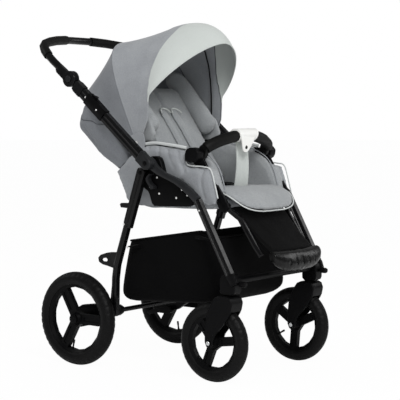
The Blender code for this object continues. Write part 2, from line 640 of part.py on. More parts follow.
turning = joint("handle_bar_axis", 0, JOINT, handle)
half_bar = [(HANDLE_X - a, JOINT[0] + b, JOINT[1] + c) for a, b, c in
            ((0.0, 0.0280, 0.0240), (0.0, 0.0621, 0.0487), (0.0025, 0.0971, 0.0757), (0.0165, 0.1301, 0.1007),
             (0.0445, 0.1551, 0.1177), (0.0925, 0.1741, 0.1287), (HANDLE_X * 0.67, 0.2041, 0.1387), (HANDLE_X, 0.2181, 0.1407))]
half_line = smooth_path(half_bar, 11)
bar_line = both_sides(half_line)
bar = solid("handle_bar", [carried(bar_line, BAR_RADIUS)], STEEL, turning)
away = (Vector(half_bar[1][1:]) - Vector(JOINT)).normalized()
flat = Vector((-away.y, away.x))
inner_x = HANDLE_X + GAP / 2
for s, hand in SIDES:
    block = [tuple(Vector(JOINT) + away * a + flat * b) for a, b in
             ((0.010, -0.0160), (0.010, 0.0160), (0.056, 0.0150), (0.064, 0.0090), (0.064, -0.0090), (0.056, -0.0150))]
    plate = disc(JOINT, JOINT_RADIUS, s * inner_x, s * HANDLE_FACE, 18, 0.0015)
    cut(bar, solid(f"angle_disc_{hand}", [plate], BLACK), True)
    cut(bar, solid(f"angle_block_{hand}", [slab(block, s * (inner_x + 0.0005), s * (HANDLE_FACE - 0.0005))], BLACK), True)
    cut(bar, drill(f"button_pocket_{hand}", JOINT, 0.0118, s * (HANDLE_FACE - 0.0050), s * (HANDLE_FACE + 0.01)))
    push = joint(f"angle_button_{hand}_axis", s * HANDLE_FACE, JOINT, turning)
    cap = disc(JOINT, 0.0112, s * (HANDLE_FACE - 0.0006), s * (HANDLE_FACE + 0.0038), 12, 0.0012)
    solid(f"angle_button_{hand}", [cap], GREY, push)
for s, hand in SIDES:
    first, last = (3, 10) if s > 0 else (11, 18)
    foam = carried(bar_line, GRIP_RADIUS)[first:last] + list(reversed(carried(bar_line, BAR_RADIUS + GAP)[first:last]))
    solid(f"grip_{hand}", [foam], FOAM, turning, "looped")

# Rear frame: legs, the tube between their feet, the storage catches

rear = joint("rear_frame", 0, LEG_PIVOT)


def leg_body(s, grow=0.0):
    """A rear leg: a rounded head at its pivot, a thicker sleeve, a bend inwards and a foot block."""
    ly, lz = LEG_PIVOT
    fy, fz = ARM_PIVOT
    steps = [(LEG_X, ly - 0.0057, lz + 0.0158, 0.40, SLEEVE_DEPTH), (LEG_X, ly - 0.0048, lz + 0.0133, 0.74, SLEEVE_DEPTH),
             (LEG_X, ly - 0.0030, lz + 0.0083, 0.96, SLEEVE_DEPTH), (LEG_X, ly, lz, 1.0, SLEEVE_DEPTH),
             (LEG_X, ly + 0.0565, lz - 0.1667, 1.0, SLEEVE_DEPTH), (LEG_X, ly + 0.0590, lz - 0.1681, 1.0, LEG_DEPTH),
             (LEG_X, ly + 0.0885, lz - 0.2556, 1.0, LEG_DEPTH), (LEG_X - 0.002, ly + 0.1030, lz - 0.2950, 1.0, LEG_DEPTH),
             (LEG_FOOT_X + 0.004, fy - 0.0095, fz + 0.1080, 1.0, LEG_DEPTH), (LEG_FOOT_X, fy - 0.0055, fz + 0.0850, 1.0, LEG_DEPTH),
             (LEG_FOOT_X, fy, fz + 0.0100, 1.0, LEG_DEPTH + 0.008), (LEG_FOOT_X, fy, fz - 0.0080, 0.95, LEG_DEPTH + 0.008),
             (LEG_FOOT_X, fy, fz - 0.0170, 0.60, LEG_DEPTH)]
    path = [(s * x, y, z) for x, y, z, f, d in steps]
    return along(path, [ridged_section(LEG_WIDTH + grow, d * f + grow) for x, y, z, f, d in steps])


catch_outline = rounded([(0.0960, 0.3780), (0.1380, 0.3760), (0.1780, 0.3640), (0.1850, 0.3480), (0.1700, 0.3360),
                         (0.1350, 0.3300), (0.1080, 0.3230)], 0.007, 1)
eye_outline = rounded([(0.1420, 0.3580), (0.1700, 0.3540), (0.1700, 0.3450), (0.1420, 0.3440)], 0.005, 1)
REAR_TUBE_END = LEG_FOOT_INNER + 0.012
for s, hand in SIDES:
    leg = solid(f"rear_leg_{hand}", [leg_body(s)], STEEL, rear)
    rest = [(0.0420, 0.5370), (0.0840, 0.5360), (0.0880, 0.5310), (0.0840, 0.5220), (0.0420, 0.5200)]
    cut(leg, solid(f"leg_rest_{hand}", [slab(rest, s * (LEG_X - 0.007), s * (LEG_X + 0.007))], BLACK, rear), True)
    catch = slab(catch_outline, s * (LEG_X - 0.0050), s * (LEG_X + 0.0050), 0.0012)
    cut(leg, solid(f"storage_catch_{hand}", [catch], BLACK, rear), True)
    cut(leg, solid(f"catch_eye_{hand}", [slab(eye_outline, s * (LEG_X - 0.03), s * (LEG_X + 0.03))], BLACK, rear))
    cut(leg, drill(f"leg_pin_hole_{hand}", LEG_PIVOT, PIN_RADIUS + GAP, s * (LEG_X - 0.03), s * (LEG_X + 0.05)))
    cut(leg, drill(f"cross_tube_hole_{hand}", ARM_PIVOT, CROSS_RADIUS + GAP, s * (ARM_X - 0.05), s * (REAR_TUBE_END + GAP)))
solid("rear_cross_tube", [disc(ARM_PIVOT, CROSS_RADIUS, -REAR_TUBE_END, REAR_TUBE_END, 12)], STEEL, rear)
# Swing arms with their axles, rear wheels and the brake pedals

ARM_INNER = ARM_X - ARM_WIDTH / 2
ARM_OUTER = ARM_X + ARM_WIDTH / 2
HUB_IN, HUB_OUT = -0.0260, 0.0180
PEDAL = (REAR_AXLE[0] - 0.036, REAR_AXLE[1] - 0.020)
for s, hand in SIDES:
    swing = joint(f"swing_arm_{hand}_axis", 0, ARM_PIVOT, rear)
    py, pz = ARM_PIVOT
    ry, rz = REAR_AXLE
    outline = rounded([(py - 0.0190, pz + 0.0060), (py - 0.0080, pz + 0.0180), (py + 0.0080, pz + 0.0180), (ry - 0.0215, rz + 0.0435),
                       (ry + 0.0355, rz + 0.0355), (ry + 0.0515, rz + 0.0155), (ry + 0.0475, rz - 0.0275), (ry + 0.0305, rz - 0.0365),
                       (ry - 0.0045, rz - 0.0285), (ry - 0.0495, rz - 0.0235), (py + 0.0180, pz - 0.0170), (py - 0.0100, pz - 0.0170)],
                      0.010, 1)
    arm = solid(f"swing_arm_{hand}", [slab(outline, s * ARM_INNER, s * ARM_OUTER, 0.003)], BLACK, swing)
    cut(arm, drill(f"arm_bush_{hand}", ARM_PIVOT, CROSS_RADIUS + GAP, s * (ARM_X - 0.05), s * (ARM_X + 0.05)))
    hub_x = REAR_HALF_TRACK + HUB_IN
    end_x = REAR_HALF_TRACK + HUB_OUT
    steps = ((ARM_OUTER - 0.006, 0.0120), (hub_x - GAP, 0.0120), (hub_x - GAP + 0.0001, AXLE_RADIUS), (end_x + GAP, AXLE_RADIUS),
             (end_x + GAP + 0.0001, 0.0105), (end_x + 0.0028, 0.0105), (end_x + 0.0040, 0.0070))
    axle = [side(circle(REAR_AXLE, r, 12), s * x) for x, r in steps]
    cut(arm, solid(f"stub_axle_{hand}", [axle], STEEL, swing), True)
    cut(arm, drill(f"pedal_hole_{hand}", PEDAL, PIN_RADIUS + GAP, s * (ARM_INNER - 0.02), s * (ARM_INNER + 0.0103)))
    spin = joint(f"rear_wheel_{hand}_axis", s * REAR_HALF_TRACK, REAR_AXLE, swing)
    wheel("rear", hand, s, REAR_AXLE, REAR_RADIUS, REAR_TYRE, REAR_HALF_TRACK, (60, 180, 300), 0.0165,
          AXLE_RADIUS + GAP, HUB_IN, HUB_OUT, spin)
    foot = joint(f"brake_pedal_{hand}_axis", 0, PEDAL, swing)
    y, z = PEDAL
    outline = rounded([(y - 0.0130, z + 0.0060), (y + 0.0040, z + 0.0140), (y + 0.0500, z + 0.0020), (y + 0.0880, z - 0.0090),
                       (y + 0.0960, z - 0.0160), (y + 0.0900, z - 0.0230), (y + 0.0500, z - 0.0130), (y + 0.0040, z - 0.0140),
                       (y - 0.0110, z - 0.0080)], 0.006, 1)
    pedal = solid(f"brake_pedal_{hand}", [slab(outline, s * (ARM_INNER - GAP), s * (ARM_INNER - 0.0180), 0.001)], BLACK, foot)
    peg = disc(PEDAL, PIN_RADIUS, s * (ARM_INNER - 0.010), s * (ARM_INNER + 0.0100), 12)
    cut(pedal, solid(f"pedal_pin_{hand}", [peg], BLACK, foot), True)

# Castors: fork, axle bolt and wheel

FORK_IN = FRONT_TYRE + 0.0017
FORK_OUT = FORK_IN + 0.0085
for s, hand in SIDES:
    x = s * FRONT_HALF_TRACK
    castor = joint(f"castor_{hand}_axis", x, (CASTOR_Y, CROWN_TOP))
    ay, az = FRONT_AXLE
    crown = rounded([(CASTOR_Y + 0.0380, CROWN_TOP - 0.014), (CASTOR_Y + 0.0250, CROWN_TOP), (CASTOR_Y - 0.0240, CROWN_TOP),
                     (CASTOR_Y - 0.0340, CROWN_TOP - 0.012), (CASTOR_Y - 0.0350, CROWN_TOP - 0.034), (CASTOR_Y - 0.0200, 0.2050),
                     (ay - 0.0150, az + 0.0170), (ay - 0.0130, az - 0.0130), (ay + 0.0020, az - 0.0180), (ay + 0.0160, az - 0.0060),
                     (ay + 0.0160, az + 0.0400), (ay + 0.0100, az + 0.0900)], 0.012, 1)
    fork = solid(f"fork_{hand}", [slab(crown, x - FORK_OUT, x + FORK_OUT, 0.003)], BLACK, castor)
    well = disc(FRONT_AXLE, FRONT_RADIUS + 0.0050, x - FORK_IN, x + FORK_IN, 28)
    cut(fork, solid(f"wheel_well_{hand}", [well], BLACK))
    steps = ((CROWN_TOP - 0.010, 0.0150), (HOUSING_FOOT - 0.0006, 0.0150), (HOUSING_FOOT - 0.0005, 0.0090),
             (HOUSING_TOP - 0.021, 0.0090))
    stem = [[(x + r * cos(2 * pi * k / 12), CASTOR_Y + r * sin(2 * pi * k / 12), z) for k in range(12)] for z, r in steps]
    cut(fork, solid(f"fork_stem_{hand}", [stem], BLACK), True)
    steps = ((-FORK_OUT - 0.0032, 0.0055), (-FORK_OUT - 0.0022, 0.0080), (-FORK_OUT + 0.0040, 0.0080),
             (-FORK_OUT + 0.0041, PIN_RADIUS), (FORK_OUT - 0.0041, PIN_RADIUS), (FORK_OUT - 0.0040, 0.0080),
             (FORK_OUT + 0.0022, 0.0080), (FORK_OUT + 0.0032, 0.0055))
    bolt = [side(circle(FRONT_AXLE, r, 12), x + o) for o, r in steps]
    cut(fork, solid(f"front_axle_{hand}", [bolt], BRIGHT, castor), True, "MANIFOLD")
    spin = joint(f"front_wheel_{hand}_axis", x, FRONT_AXLE, castor)
    angles = (52, 172, 292) if s < 0 else (35, 155, 275)
    wheel("front", hand, s, FRONT_AXLE, FRONT_RADIUS, FRONT_TYRE, FRONT_HALF_TRACK, angles, 0.0135,
          PIN_RADIUS + GAP, -FORK_IN + 0.0006, FORK_IN - 0.0006, spin)

# Seat unit: side frames, base, cushion, side panels, bumper sockets

seat = joint("seat_unit", 0, (LEDGE[0], LEDGE_TOP))
HOOD_EYE = HOOD_HALF - CLOTH - 0.0016
EYE_PIN = 0.0045
frame_outline = [(-0.182, 0.690), (-0.172, 0.700), (-0.150, 0.706), (0.040, 0.732), (0.072, 0.734), (0.084, 0.712),
                         (0.100, 0.610), (0.098, 0.580), (0.080, 0.572), (0.040, 0.586), (-0.190, 0.586), (-0.236, 0.556),
                         (-0.252, 0.521), (-0.272, 0.515), (-0.285, 0.531), (-0.276, 0.550), (-0.212, 0.640)]
hole_outline = [(-0.148, 0.674), (0.030, 0.706), (0.048, 0.700), (0.066, 0.622), (-0.188, 0.612)]
socket_outline = rounded([(-0.1390, 0.6690), (-0.1390, 0.7000), (-0.1500, 0.7130), (-0.1690, 0.7150), (-0.1890, 0.7080),
                          (-0.1930, 0.6900), (-0.1800, 0.6690)], 0.007, 1)
rod = disc(BACK_HINGE, EYE_PIN, -FRAME_X, FRAME_X, 12)
frame = solid("seat_frame", [rod], BLACK, seat)


def stub(name, centre, x0, x1, radius=EYE_PIN):
    return solid(name, [disc(centre, radius, x0, x1, 12)], BLACK, seat)


for s, hand in SIDES:
    plate = slab(frame_outline, s * (FRAME_X - FRAME_THICK / 2), s * FRAME_OUTER)
    cut(frame, solid(f"frame_side_{hand}", [plate], BLACK, seat), True)
    socket = slab(socket_outline, s * (FRAME_OUTER - 0.002), s * (PLATE_INNER - RUN), 0.002)
    cut(frame, solid(f"bumper_socket_{hand}", [socket], BLACK, seat), True)
    cut(frame, solid(f"frame_window_{hand}", [slab(hole_outline, s * (FRAME_X - 0.02), s * (FRAME_X + 0.02))], BLACK, seat))
    low, high = LEDGE_TOP + GAP, LEDGE_TOP + 0.014
    foot = rounded([(LEDGE[0] + 0.008, low), (LEDGE[1] - 0.008, low), (LEDGE[1] - 0.008, high), (LEDGE[0] + 0.008, high)], 0.002, 1)
    cut(frame, solid(f"seat_foot_{hand}", [slab(foot, s * (FRAME_OUTER - 0.004), s * (PLATE_INNER - RUN))], BLACK, seat), True)
    cut(frame, stub(f"hood_pin_{hand}", HOOD_PIVOT, s * (FRAME_OUTER - 0.005), s * HOOD_EYE), True)
    cut(frame, stub(f"foot_pin_{hand}", FOOT_HINGE, s * (FRAME_OUTER - 0.005), s * (SEAT_HALF - 0.016)), True)
    cut(frame, stub(f"bumper_pin_hole_{hand}", BUMPER_HINGE, s * (FRAME_X - 0.02), s * (FRAME_OUTER + 0.0083), EYE_PIN + GAP))

base_outline = rounded([(-0.238, 0.5560), (-0.242, 0.5400), (-0.225, 0.5250), (0.004, 0.5215), (0.053, 0.5200), (0.105, 0.5380),
                        (0.147, 0.6110), (0.139, 0.6100), (0.116, 0.5860), (0.108, 0.5700), (0.088, 0.5560), (0.050, 0.5560)], 0.012, 1)
solid("seat_base", [stuffed(base_outline, -SEAT_HALF, SEAT_HALF, 0.03, 6)], MELANGE, seat)
PAD_THICK = 0.0270
solid("seat_pad", [pillow((0, -0.0950, 0.5560 + GAP + PAD_THICK / 2), (2 * SEAT_HALF - 0.024, 0, 0), (0, 0.255, 0), (0, 0, PAD_THICK), 10, 8,
                          3.0, 0.02, ((-0.42, 0.05), (0.42, 0.05)), 0.10)], MELANGE, seat)

panel_outline = [(0.150, 0.636), (0.098, 0.686), (0.047, 0.711), (-0.020, 0.720), (-0.1375, 0.700), (-0.1375, 0.668),
                         (-0.152, 0.657), (-0.203, 0.651), (-0.228, 0.600), (-0.244, 0.544), (-0.225, 0.536), (-0.196, 0.548),
                         (-0.160, 0.600), (-0.120, 0.626), (-0.030, 0.628), (-0.016, 0.600), (-0.008, 0.530), (0.004, 0.523),
                         (0.053, 0.521), (0.110, 0.541)]
for s, hand in SIDES:
    padding = stuffed(panel_outline, s * (PANEL_X - PANEL_THICK / 2), s * (PANEL_X + PANEL_THICK / 2), 0.025, 3)
    solid(f"side_panel_{hand}", [padding], MELANGE, seat)

# Hood: bows swing about one pivot on each side, cloth is stretched between them

BACK_EDGE = (34.0, 0.3200, 6.0)
REAR_BOW = (65.1, 0.3730, 4.0)
FRONT_BOW = (95.6, 0.3890, 2.5)
SEAM = 0.0002
ARCH_POINTS = 27


def arch(centre, angle, height, power, half, foot=0.0, count=ARCH_POINTS):
    """A rounded arch in a plane that leans at that angle from the pram's rear about a line through its two feet."""
    c, s = cos(radians(angle)), sin(radians(angle))
    first = asin((foot / height) ** (power / 2))
    pts = []
    for k in range(241):
        a = first + (pi - 2 * first) * k / 240
        r = height * abs(sin(a)) ** (2 / power)
        w = half * abs(cos(a)) ** (2 / power) * (-1 if cos(a) > 0 else 1)
        pts.append((w, centre[0] + r * c, centre[1] + r * s))
    return even(pts, count)


def cloth_ring(centre, angle, height, power, shift=0.0, foot=0.0):
    """Outer and inner line of the cloth at one arch; a shift moves them square to the arch's plane."""
    outer = arch(centre, angle, height, power, HOOD_HALF, foot)
    inner = arch(centre, angle, height - CLOTH, power, HOOD_HALF - CLOTH, foot)
    move = Vector((0, -sin(radians(angle)), cos(radians(angle)))) * shift
    return [tuple(p + move) for p in outer] + [tuple(p + move) for p in reversed(inner)]


def stretched(first, last, steps, sag, way):
    """Cloth between two rings, sagging or bulging between them along the given way, most at the crown."""
    top = max(p[2] for p in first)
    low = HOOD_PIVOT[1]
    rings = []
    for k in range(steps + 1):
        t = k / steps
        ring = []
        for a, b in zip(first, last):
            p = Vector(mix(a, b, t))
            ring.append(tuple(p + Vector(way) * (sag * 4 * t * (1 - t) * max(0.0, (p.z - low) / (top - low)))))
        rings.append(ring)
    return rings


back_edge = cloth_ring(HOOD_PIVOT, *BACK_EDGE, 0.0, 0.030)
rear_seam = [cloth_ring(HOOD_PIVOT, *REAR_BOW, shift, 0.030) for shift in (-SEAM, SEAM)]
front_seam = [cloth_ring(HOOD_PIVOT, *FRONT_BOW, shift, 0.030) for shift in (-SEAM, SEAM)]
solid("canopy_rear_panel", [stretched(back_edge, rear_seam[0], 3, -0.003, (0, 0.7, 0.7))], MELANGE, seat, "sheet", 60)
solid("canopy_mid_panel", [stretched(rear_seam[1], front_seam[0], 3, -0.004, (0, 0.2, 0.98))], MELANGE, seat, "sheet", 60)

hood = joint("canopy_front", 0, HOOD_PIVOT, seat)
BRIM_FOOT = (0.0170, 0.8750)
BRIM_EDGE = (132.7, 0.2286, 1.71)


def front_edge(draw):
    """The brim's free edge: up from beside the pivot to the foot, then over the opening."""
    angle, height, power = BRIM_EDGE
    over = arch(BRIM_FOOT, angle, height - draw, power, HOOD_HALF - draw)
    half = HOOD_HALF - draw
    rise = [Vector((-half, 0.0440, 0.7460)), Vector((-half, 0.0210, 0.8000))]
    fall = [Vector((-p.x, p.y, p.z)) for p in reversed(rise)]
    return even(rise + over + fall, ARCH_POINTS)


edge = [tuple(p) for p in front_edge(0.0)] + [tuple(p) for p in reversed(front_edge(CLOTH))]
solid("canopy_brim", [stretched(front_seam[1], edge, 4, 0.036, (0, -0.45, 0.89))], PALE, hood, "sheet", 60)
bow = arch(HOOD_PIVOT, FRONT_BOW[0] - 1.2, FRONT_BOW[1] - CLOTH - 0.0080, FRONT_BOW[2], HOOD_HALF - CLOTH - 0.0045, 0.012, 19)
tube = solid("canopy_front_bow", [carried(bow, 0.0026, 6)], BLACK, hood)
for s, hand in SIDES:
    cut(tube, solid(f"bow_eye_{hand}", [disc(HOOD_PIVOT, 0.0160, s * (FRAME_OUTER + GAP), s * HOOD_EYE, 16)], BLACK, hood), True)
    cut(tube, solid(f"bow_eye_hole_{hand}", [disc(HOOD_PIVOT, EYE_PIN + GAP, s * (HOOD_EYE - 0.015), s * (HOOD_EYE + 0.01), 12)], BLACK, hood))

# Backrest: a deep stuffed shell with the pad on its front

back = joint("backrest", 0, BACK_HINGE, seat)
BACK_HALF = SEAT_HALF - RUN
FACE_FOOT = Vector((0, 0.0660, 0.6080))
FACE_TOP = Vector((0, 0.2680, 0.8620))
TOP_DRAW = 0.085          # the shell's top is this much narrower, to pass inside the hood as it tilts
shell_outline = rounded([FACE_FOOT[1:], FACE_TOP[1:], (0.2840, 0.8760), (0.3100, 0.8760), (0.3320, 0.8600), (0.3400, 0.8300),
                         (0.3500, 0.7780), (0.2480, 0.6820), (0.1800, 0.6430), (0.1300, 0.6090), (0.0920, 0.5740), (0.0700, 0.5780),
                         (0.0630, 0.5920)], 0.014, 1)
rings = [[(x * (1 - TOP_DRAW * max(0.0, (z - FACE_TOP.z + 0.070) / 0.070)), y, z) for x, y, z in ring]
         for ring in stuffed(shell_outline, -BACK_HALF, BACK_HALF, 0.06, 6, 3.0)]
shell = solid("backrest_shell", [rings], MELANGE, back)
cut(shell, solid("back_hinge_hole", [disc(BACK_HINGE, EYE_PIN + GAP, -HOOD_HALF, HOOD_HALF, 12)], BLACK, back))
slope = (FACE_TOP - FACE_FOOT).normalized()
square = Vector((0, -slope.z, slope.y))
BACK_PAD = 0.0240
solid("backrest_pad", [pillow(FACE_FOOT + slope * 0.168 + square * (BACK_PAD / 2 + GAP), (2 * SEAT_HALF - 0.036, 0, 0), slope * 0.300,
                              square * BACK_PAD, 12, 8, 3.0, 0.02, ((-0.55, 0.05), (0.0, 0.05), (0.55, 0.05)), 0.12)], MELANGE, back)
STRAP_PAD = 0.0150
for s, hand in SIDES:
    centre = FACE_FOOT + Vector((s * 0.0360, 0, 0)) + slope * 0.190 + square * (BACK_PAD + STRAP_PAD / 2 + 2 * GAP)
    solid(f"shoulder_pad_{hand}", [pillow(centre, (0.052, 0, 0), slope * 0.170, square * STRAP_PAD, 5, 7, 2.6, 0.04)], PALE, back)

# Bumper bar on its two knuckles, with the wrap and its strap

bumper = joint("bumper_bar_axis", 0, BUMPER_HINGE, seat)
half_line = smooth_path([(SEAT_HALF - a, BUMPER_HINGE[0] - b, BUMPER_HINGE[1] + c) for a, b, c in
                         ((0.0070, 0.0150, 0.0200), (0.0170, 0.0210, 0.0270), (0.0480, 0.0310, 0.0400), (0.0900, 0.0390, 0.0500),
                          (SEAT_HALF * 0.763, 0.0440, 0.0570), (SEAT_HALF, 0.0450, 0.0590))], 8)
line = both_sides(half_line)
bar = solid("bumper_bar", [carried(line, BUMPER_RADIUS)], BLACK, bumper)
KNUCKLE = SEAT_HALF - GAP
for s, hand in SIDES:
    by, bz = BUMPER_HINGE
    outline = rounded([(by + 0.014, bz - 0.010), (by + 0.014, bz + 0.010), (by + 0.002, bz + 0.034), (by - 0.028, bz + 0.030),
                       (by - 0.016, bz - 0.006), (by - 0.008, bz - 0.015)], 0.009, 1)
    cut(bar, solid(f"bumper_knuckle_{hand}", [slab(outline, s * (KNUCKLE - 0.016), s * KNUCKLE, 0.002)], BLACK, bumper), True)
    peg = disc(BUMPER_HINGE, EYE_PIN, s * (KNUCKLE - 0.006), s * (FRAME_OUTER + 0.0080), 12)
    cut(bar, solid(f"bumper_pin_{hand}", [peg], BLACK, bumper), True)
WRAP = 0.0024
wrap = carried(line, BUMPER_RADIUS + GAP + WRAP)[5:10] + list(reversed(carried(line, BUMPER_RADIUS + GAP)[5:10]))
strap = solid("bumper_strap", [wrap], WHITE, bumper, "looped")
steps = ((-0.2140, 0.7320, 0.020), (-0.2110, 0.7100, 0.014), (-0.2080, 0.6900, 0.020), (-0.2030, 0.6500, 0.020),
         (-0.1990, 0.6150, 0.020), (-0.1965, 0.5870, 0.020))
web = [[(-w, y - 0.0020, z), (w, y - 0.0020, z), (w, y + 0.0020, z), (-w, y + 0.0020, z)] for y, z, w in steps]
cut(strap, solid("strap_web", [web], WHITE, bumper), True)

# Footrest

rest = joint("footrest", 0, FOOT_HINGE, seat)
TUBE_X = SEAT_HALF - GAP - 0.0080
TUBE_LOW = TUBE_X - 0.0330
rest_path = [(TUBE_X, *FOOT_HINGE), (TUBE_X - 0.012, -0.2760, 0.5180), (TUBE_LOW, -0.2930, 0.4960), (TUBE_LOW, -0.3160, 0.4620),
             (TUBE_LOW, -0.3500, 0.4120), (TUBE_LOW, -0.3720, 0.3860)]
arms = [along([(s * x, y, z) for x, y, z in rest_path], [oval_section(0.0150, 0.0170, 10)]) for s, hand in SIDES]
frame = solid("footrest_frame", arms, STEEL, rest)
for s, hand in SIDES:
    eye = disc(FOOT_HINGE, 0.0130, s * (TUBE_X - 0.0075), s * (TUBE_X + 0.0080), 14, 0.001)
    cut(frame, solid(f"footrest_eye_{hand}", [eye], BLACK, rest), True)
    cut(frame, solid(f"footrest_eye_hole_{hand}", [disc(FOOT_HINGE, EYE_PIN + GAP, s * (TUBE_X - 0.03), s * (TUBE_X + 0.02), 12)], BLACK, rest))
cross = disc(rest_path[3][1:], 0.0060, -TUBE_LOW, TUBE_LOW, 10)
cut(frame, solid("footrest_cross_bar", [cross], STEEL, rest), True)
down = (Vector((0, *rest_path[4][1:])) - Vector((0, *rest_path[2][1:]))).normalized()
out = Vector((0, down.z, -down.y))
panel_centre = Vector((0, -0.3242, 0.4491)) + out * 0.0125
solid("footrest_panel", [pillow(panel_centre, (2 * (TUBE_LOW - 0.0085), 0, 0), down * 0.118, out * 0.0100, 8, 6, 4.0, 0.0)],
      BLACK_CLOTH, rest)
TRAY_HALF = TUBE_LOW - 0.0007
tray = []
for k in range(13):
    u = max(-0.985, min(0.985, -cos(pi * k / 12)))
    swell = (1 - abs(u) ** 2.6) ** (1 / 2.0)
    high = 0.0110 + 0.0270 * swell
    centre = Vector((TRAY_HALF * u, -0.4080 - 0.006 * swell, 0.4000 - high * 0.90))
    rise = Vector((0, 0.45, 0.89))
    front = Vector((0, -0.89, 0.45))
    ring = []
    for j in range(12):
        a = 2 * pi * j / 12
        ring.append(tuple(centre + rise * high * cos(a) + front * (0.010 + 0.014 * swell) * sin(a)))
    tray.append(ring)
solid("foot_tray", [tray], BLACK_CLOTH, rest)

# Front flap of the seat: a stuffed roll below the edge of the cushion
APRON_LONG = 0.0800
solid("apron", [pillow((0, -0.2500 - APRON_LONG / 2, 0.5370), (2 * SEAT_HALF - 0.074, 0, 0), (0, APRON_LONG, 0), (0, 0, 0.0400), 8, 8, 3.4, 0.02)],
      MELANGE, rest)

# Buckle of the harness, lying on the cushion

buckle_centre = Vector((0, -0.1400, 0.5560 + GAP + PAD_THICK + 0.0085 + GAP))
buckle = pillow(buckle_centre, (0.046, 0, 0), (0, 0.040, 0.0), (0, 0, 0.0160), 8, 8, 3.5, 0.05)
solid("buckle", [buckle], BLACK, seat)
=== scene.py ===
"""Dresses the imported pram: cloth, padding, rubber, coated tube and moulded plastic, on a pale floor."""
import bpy
import bmesh
from math import radians, sin, cos, asin, pi, sqrt, copysign
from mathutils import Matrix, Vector, noise
from mathutils.bvhtree import BVHTree
import numpy as np


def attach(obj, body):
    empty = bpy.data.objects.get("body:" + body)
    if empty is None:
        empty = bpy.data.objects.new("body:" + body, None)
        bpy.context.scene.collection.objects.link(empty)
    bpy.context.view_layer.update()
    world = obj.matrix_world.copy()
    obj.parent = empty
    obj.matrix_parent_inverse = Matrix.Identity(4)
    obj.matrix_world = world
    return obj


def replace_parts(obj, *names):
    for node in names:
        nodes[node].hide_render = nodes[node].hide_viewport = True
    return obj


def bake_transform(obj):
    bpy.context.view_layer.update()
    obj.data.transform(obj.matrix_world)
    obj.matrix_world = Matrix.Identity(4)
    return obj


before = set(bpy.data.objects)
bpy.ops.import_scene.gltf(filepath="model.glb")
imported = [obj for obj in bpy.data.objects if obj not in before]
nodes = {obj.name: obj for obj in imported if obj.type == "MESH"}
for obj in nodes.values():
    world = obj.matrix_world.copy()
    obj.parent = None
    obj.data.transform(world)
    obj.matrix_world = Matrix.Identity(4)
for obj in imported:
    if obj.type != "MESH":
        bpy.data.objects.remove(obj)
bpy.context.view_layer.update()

# The part's own sizes in metres, in the builder's frame, whose middle lies 33.5 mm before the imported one's.
# A pair is a point (y, z) seen from the side, and an arch of the hood is its lean in degrees from level,
# its height and the power of its rounded crown
SHIFT = -0.0335
MM = 0.001
HOOD_HALF = 0.1985
HOOD_PIVOT = (0.06, 0.715)
HOOD_FOOT = 0.03
BACK_EDGE = (34.0, 0.32, 6.0)
REAR_BOW = (65.1, 0.373, 4.0)
FRONT_BOW = (95.6, 0.389, 2.5)
BRIM_FOOT = (0.017, 0.875)
BRIM_EDGE = (132.7, 0.2286, 1.71)
HANDLE_PIVOT = (-0.036, 0.665)
HANDLE_LEAN = 40.2
PLATE_OUTER = 0.238
LEG_OUTER = 0.2603
LEG_X = 0.2493
REAR_AXLE = (0.2645, 0.1525)
FRONT_AXLE = (-0.2645, 0.1225)
REAR_HALF_TRACK = 0.2612
FRONT_HALF_TRACK = 0.2313
BOTH = ((-1, "right"), (1, "left"))

# Sizes of patterns in metres: a wave texture of scale 1 repeats each 0.314, cloth changes its tone over
# about 71 mm, and wear changes the polish of a surface over about 26 mm
WAVE_REPEAT = 0.314
TONE_PATCH = 1 / 14
WEAR_PATCH = 1 / 38
THREAD_RELIEF = 0.0003


# Small tools for looks

def lin(code):
    """A colour written as a hex code, as the linear values the shader wants."""
    parts = [int(code[i:i + 2], 16) / 255 for i in (0, 2, 4)]
    return (*(c / 12.92 if c <= 0.04045 else ((c + 0.055) / 1.055) ** 2.4 for c in parts), 1)


def add(tree, kind, settings=None, **sockets):
    """A shader node with its settings and its sockets, each given a value or another node's output."""
    made = tree.nodes.new(kind)
    for key, value in (settings or {}).items():
        setattr(made, key, value)
    for key, value in sockets.items():
        socket = made.inputs[int(key[1:])] if key[0] == "_" else made.inputs[key.replace("_", " ")]
        if isinstance(value, bpy.types.NodeSocket):
            tree.links.new(value, socket)
        else:
            socket.default_value = value
    return made


def blank(name):
    """A new material and its node tree, still empty."""
    made = bpy.data.materials.new(name)
    made.use_nodes = True
    made.node_tree.nodes.clear()
    return made, made.node_tree


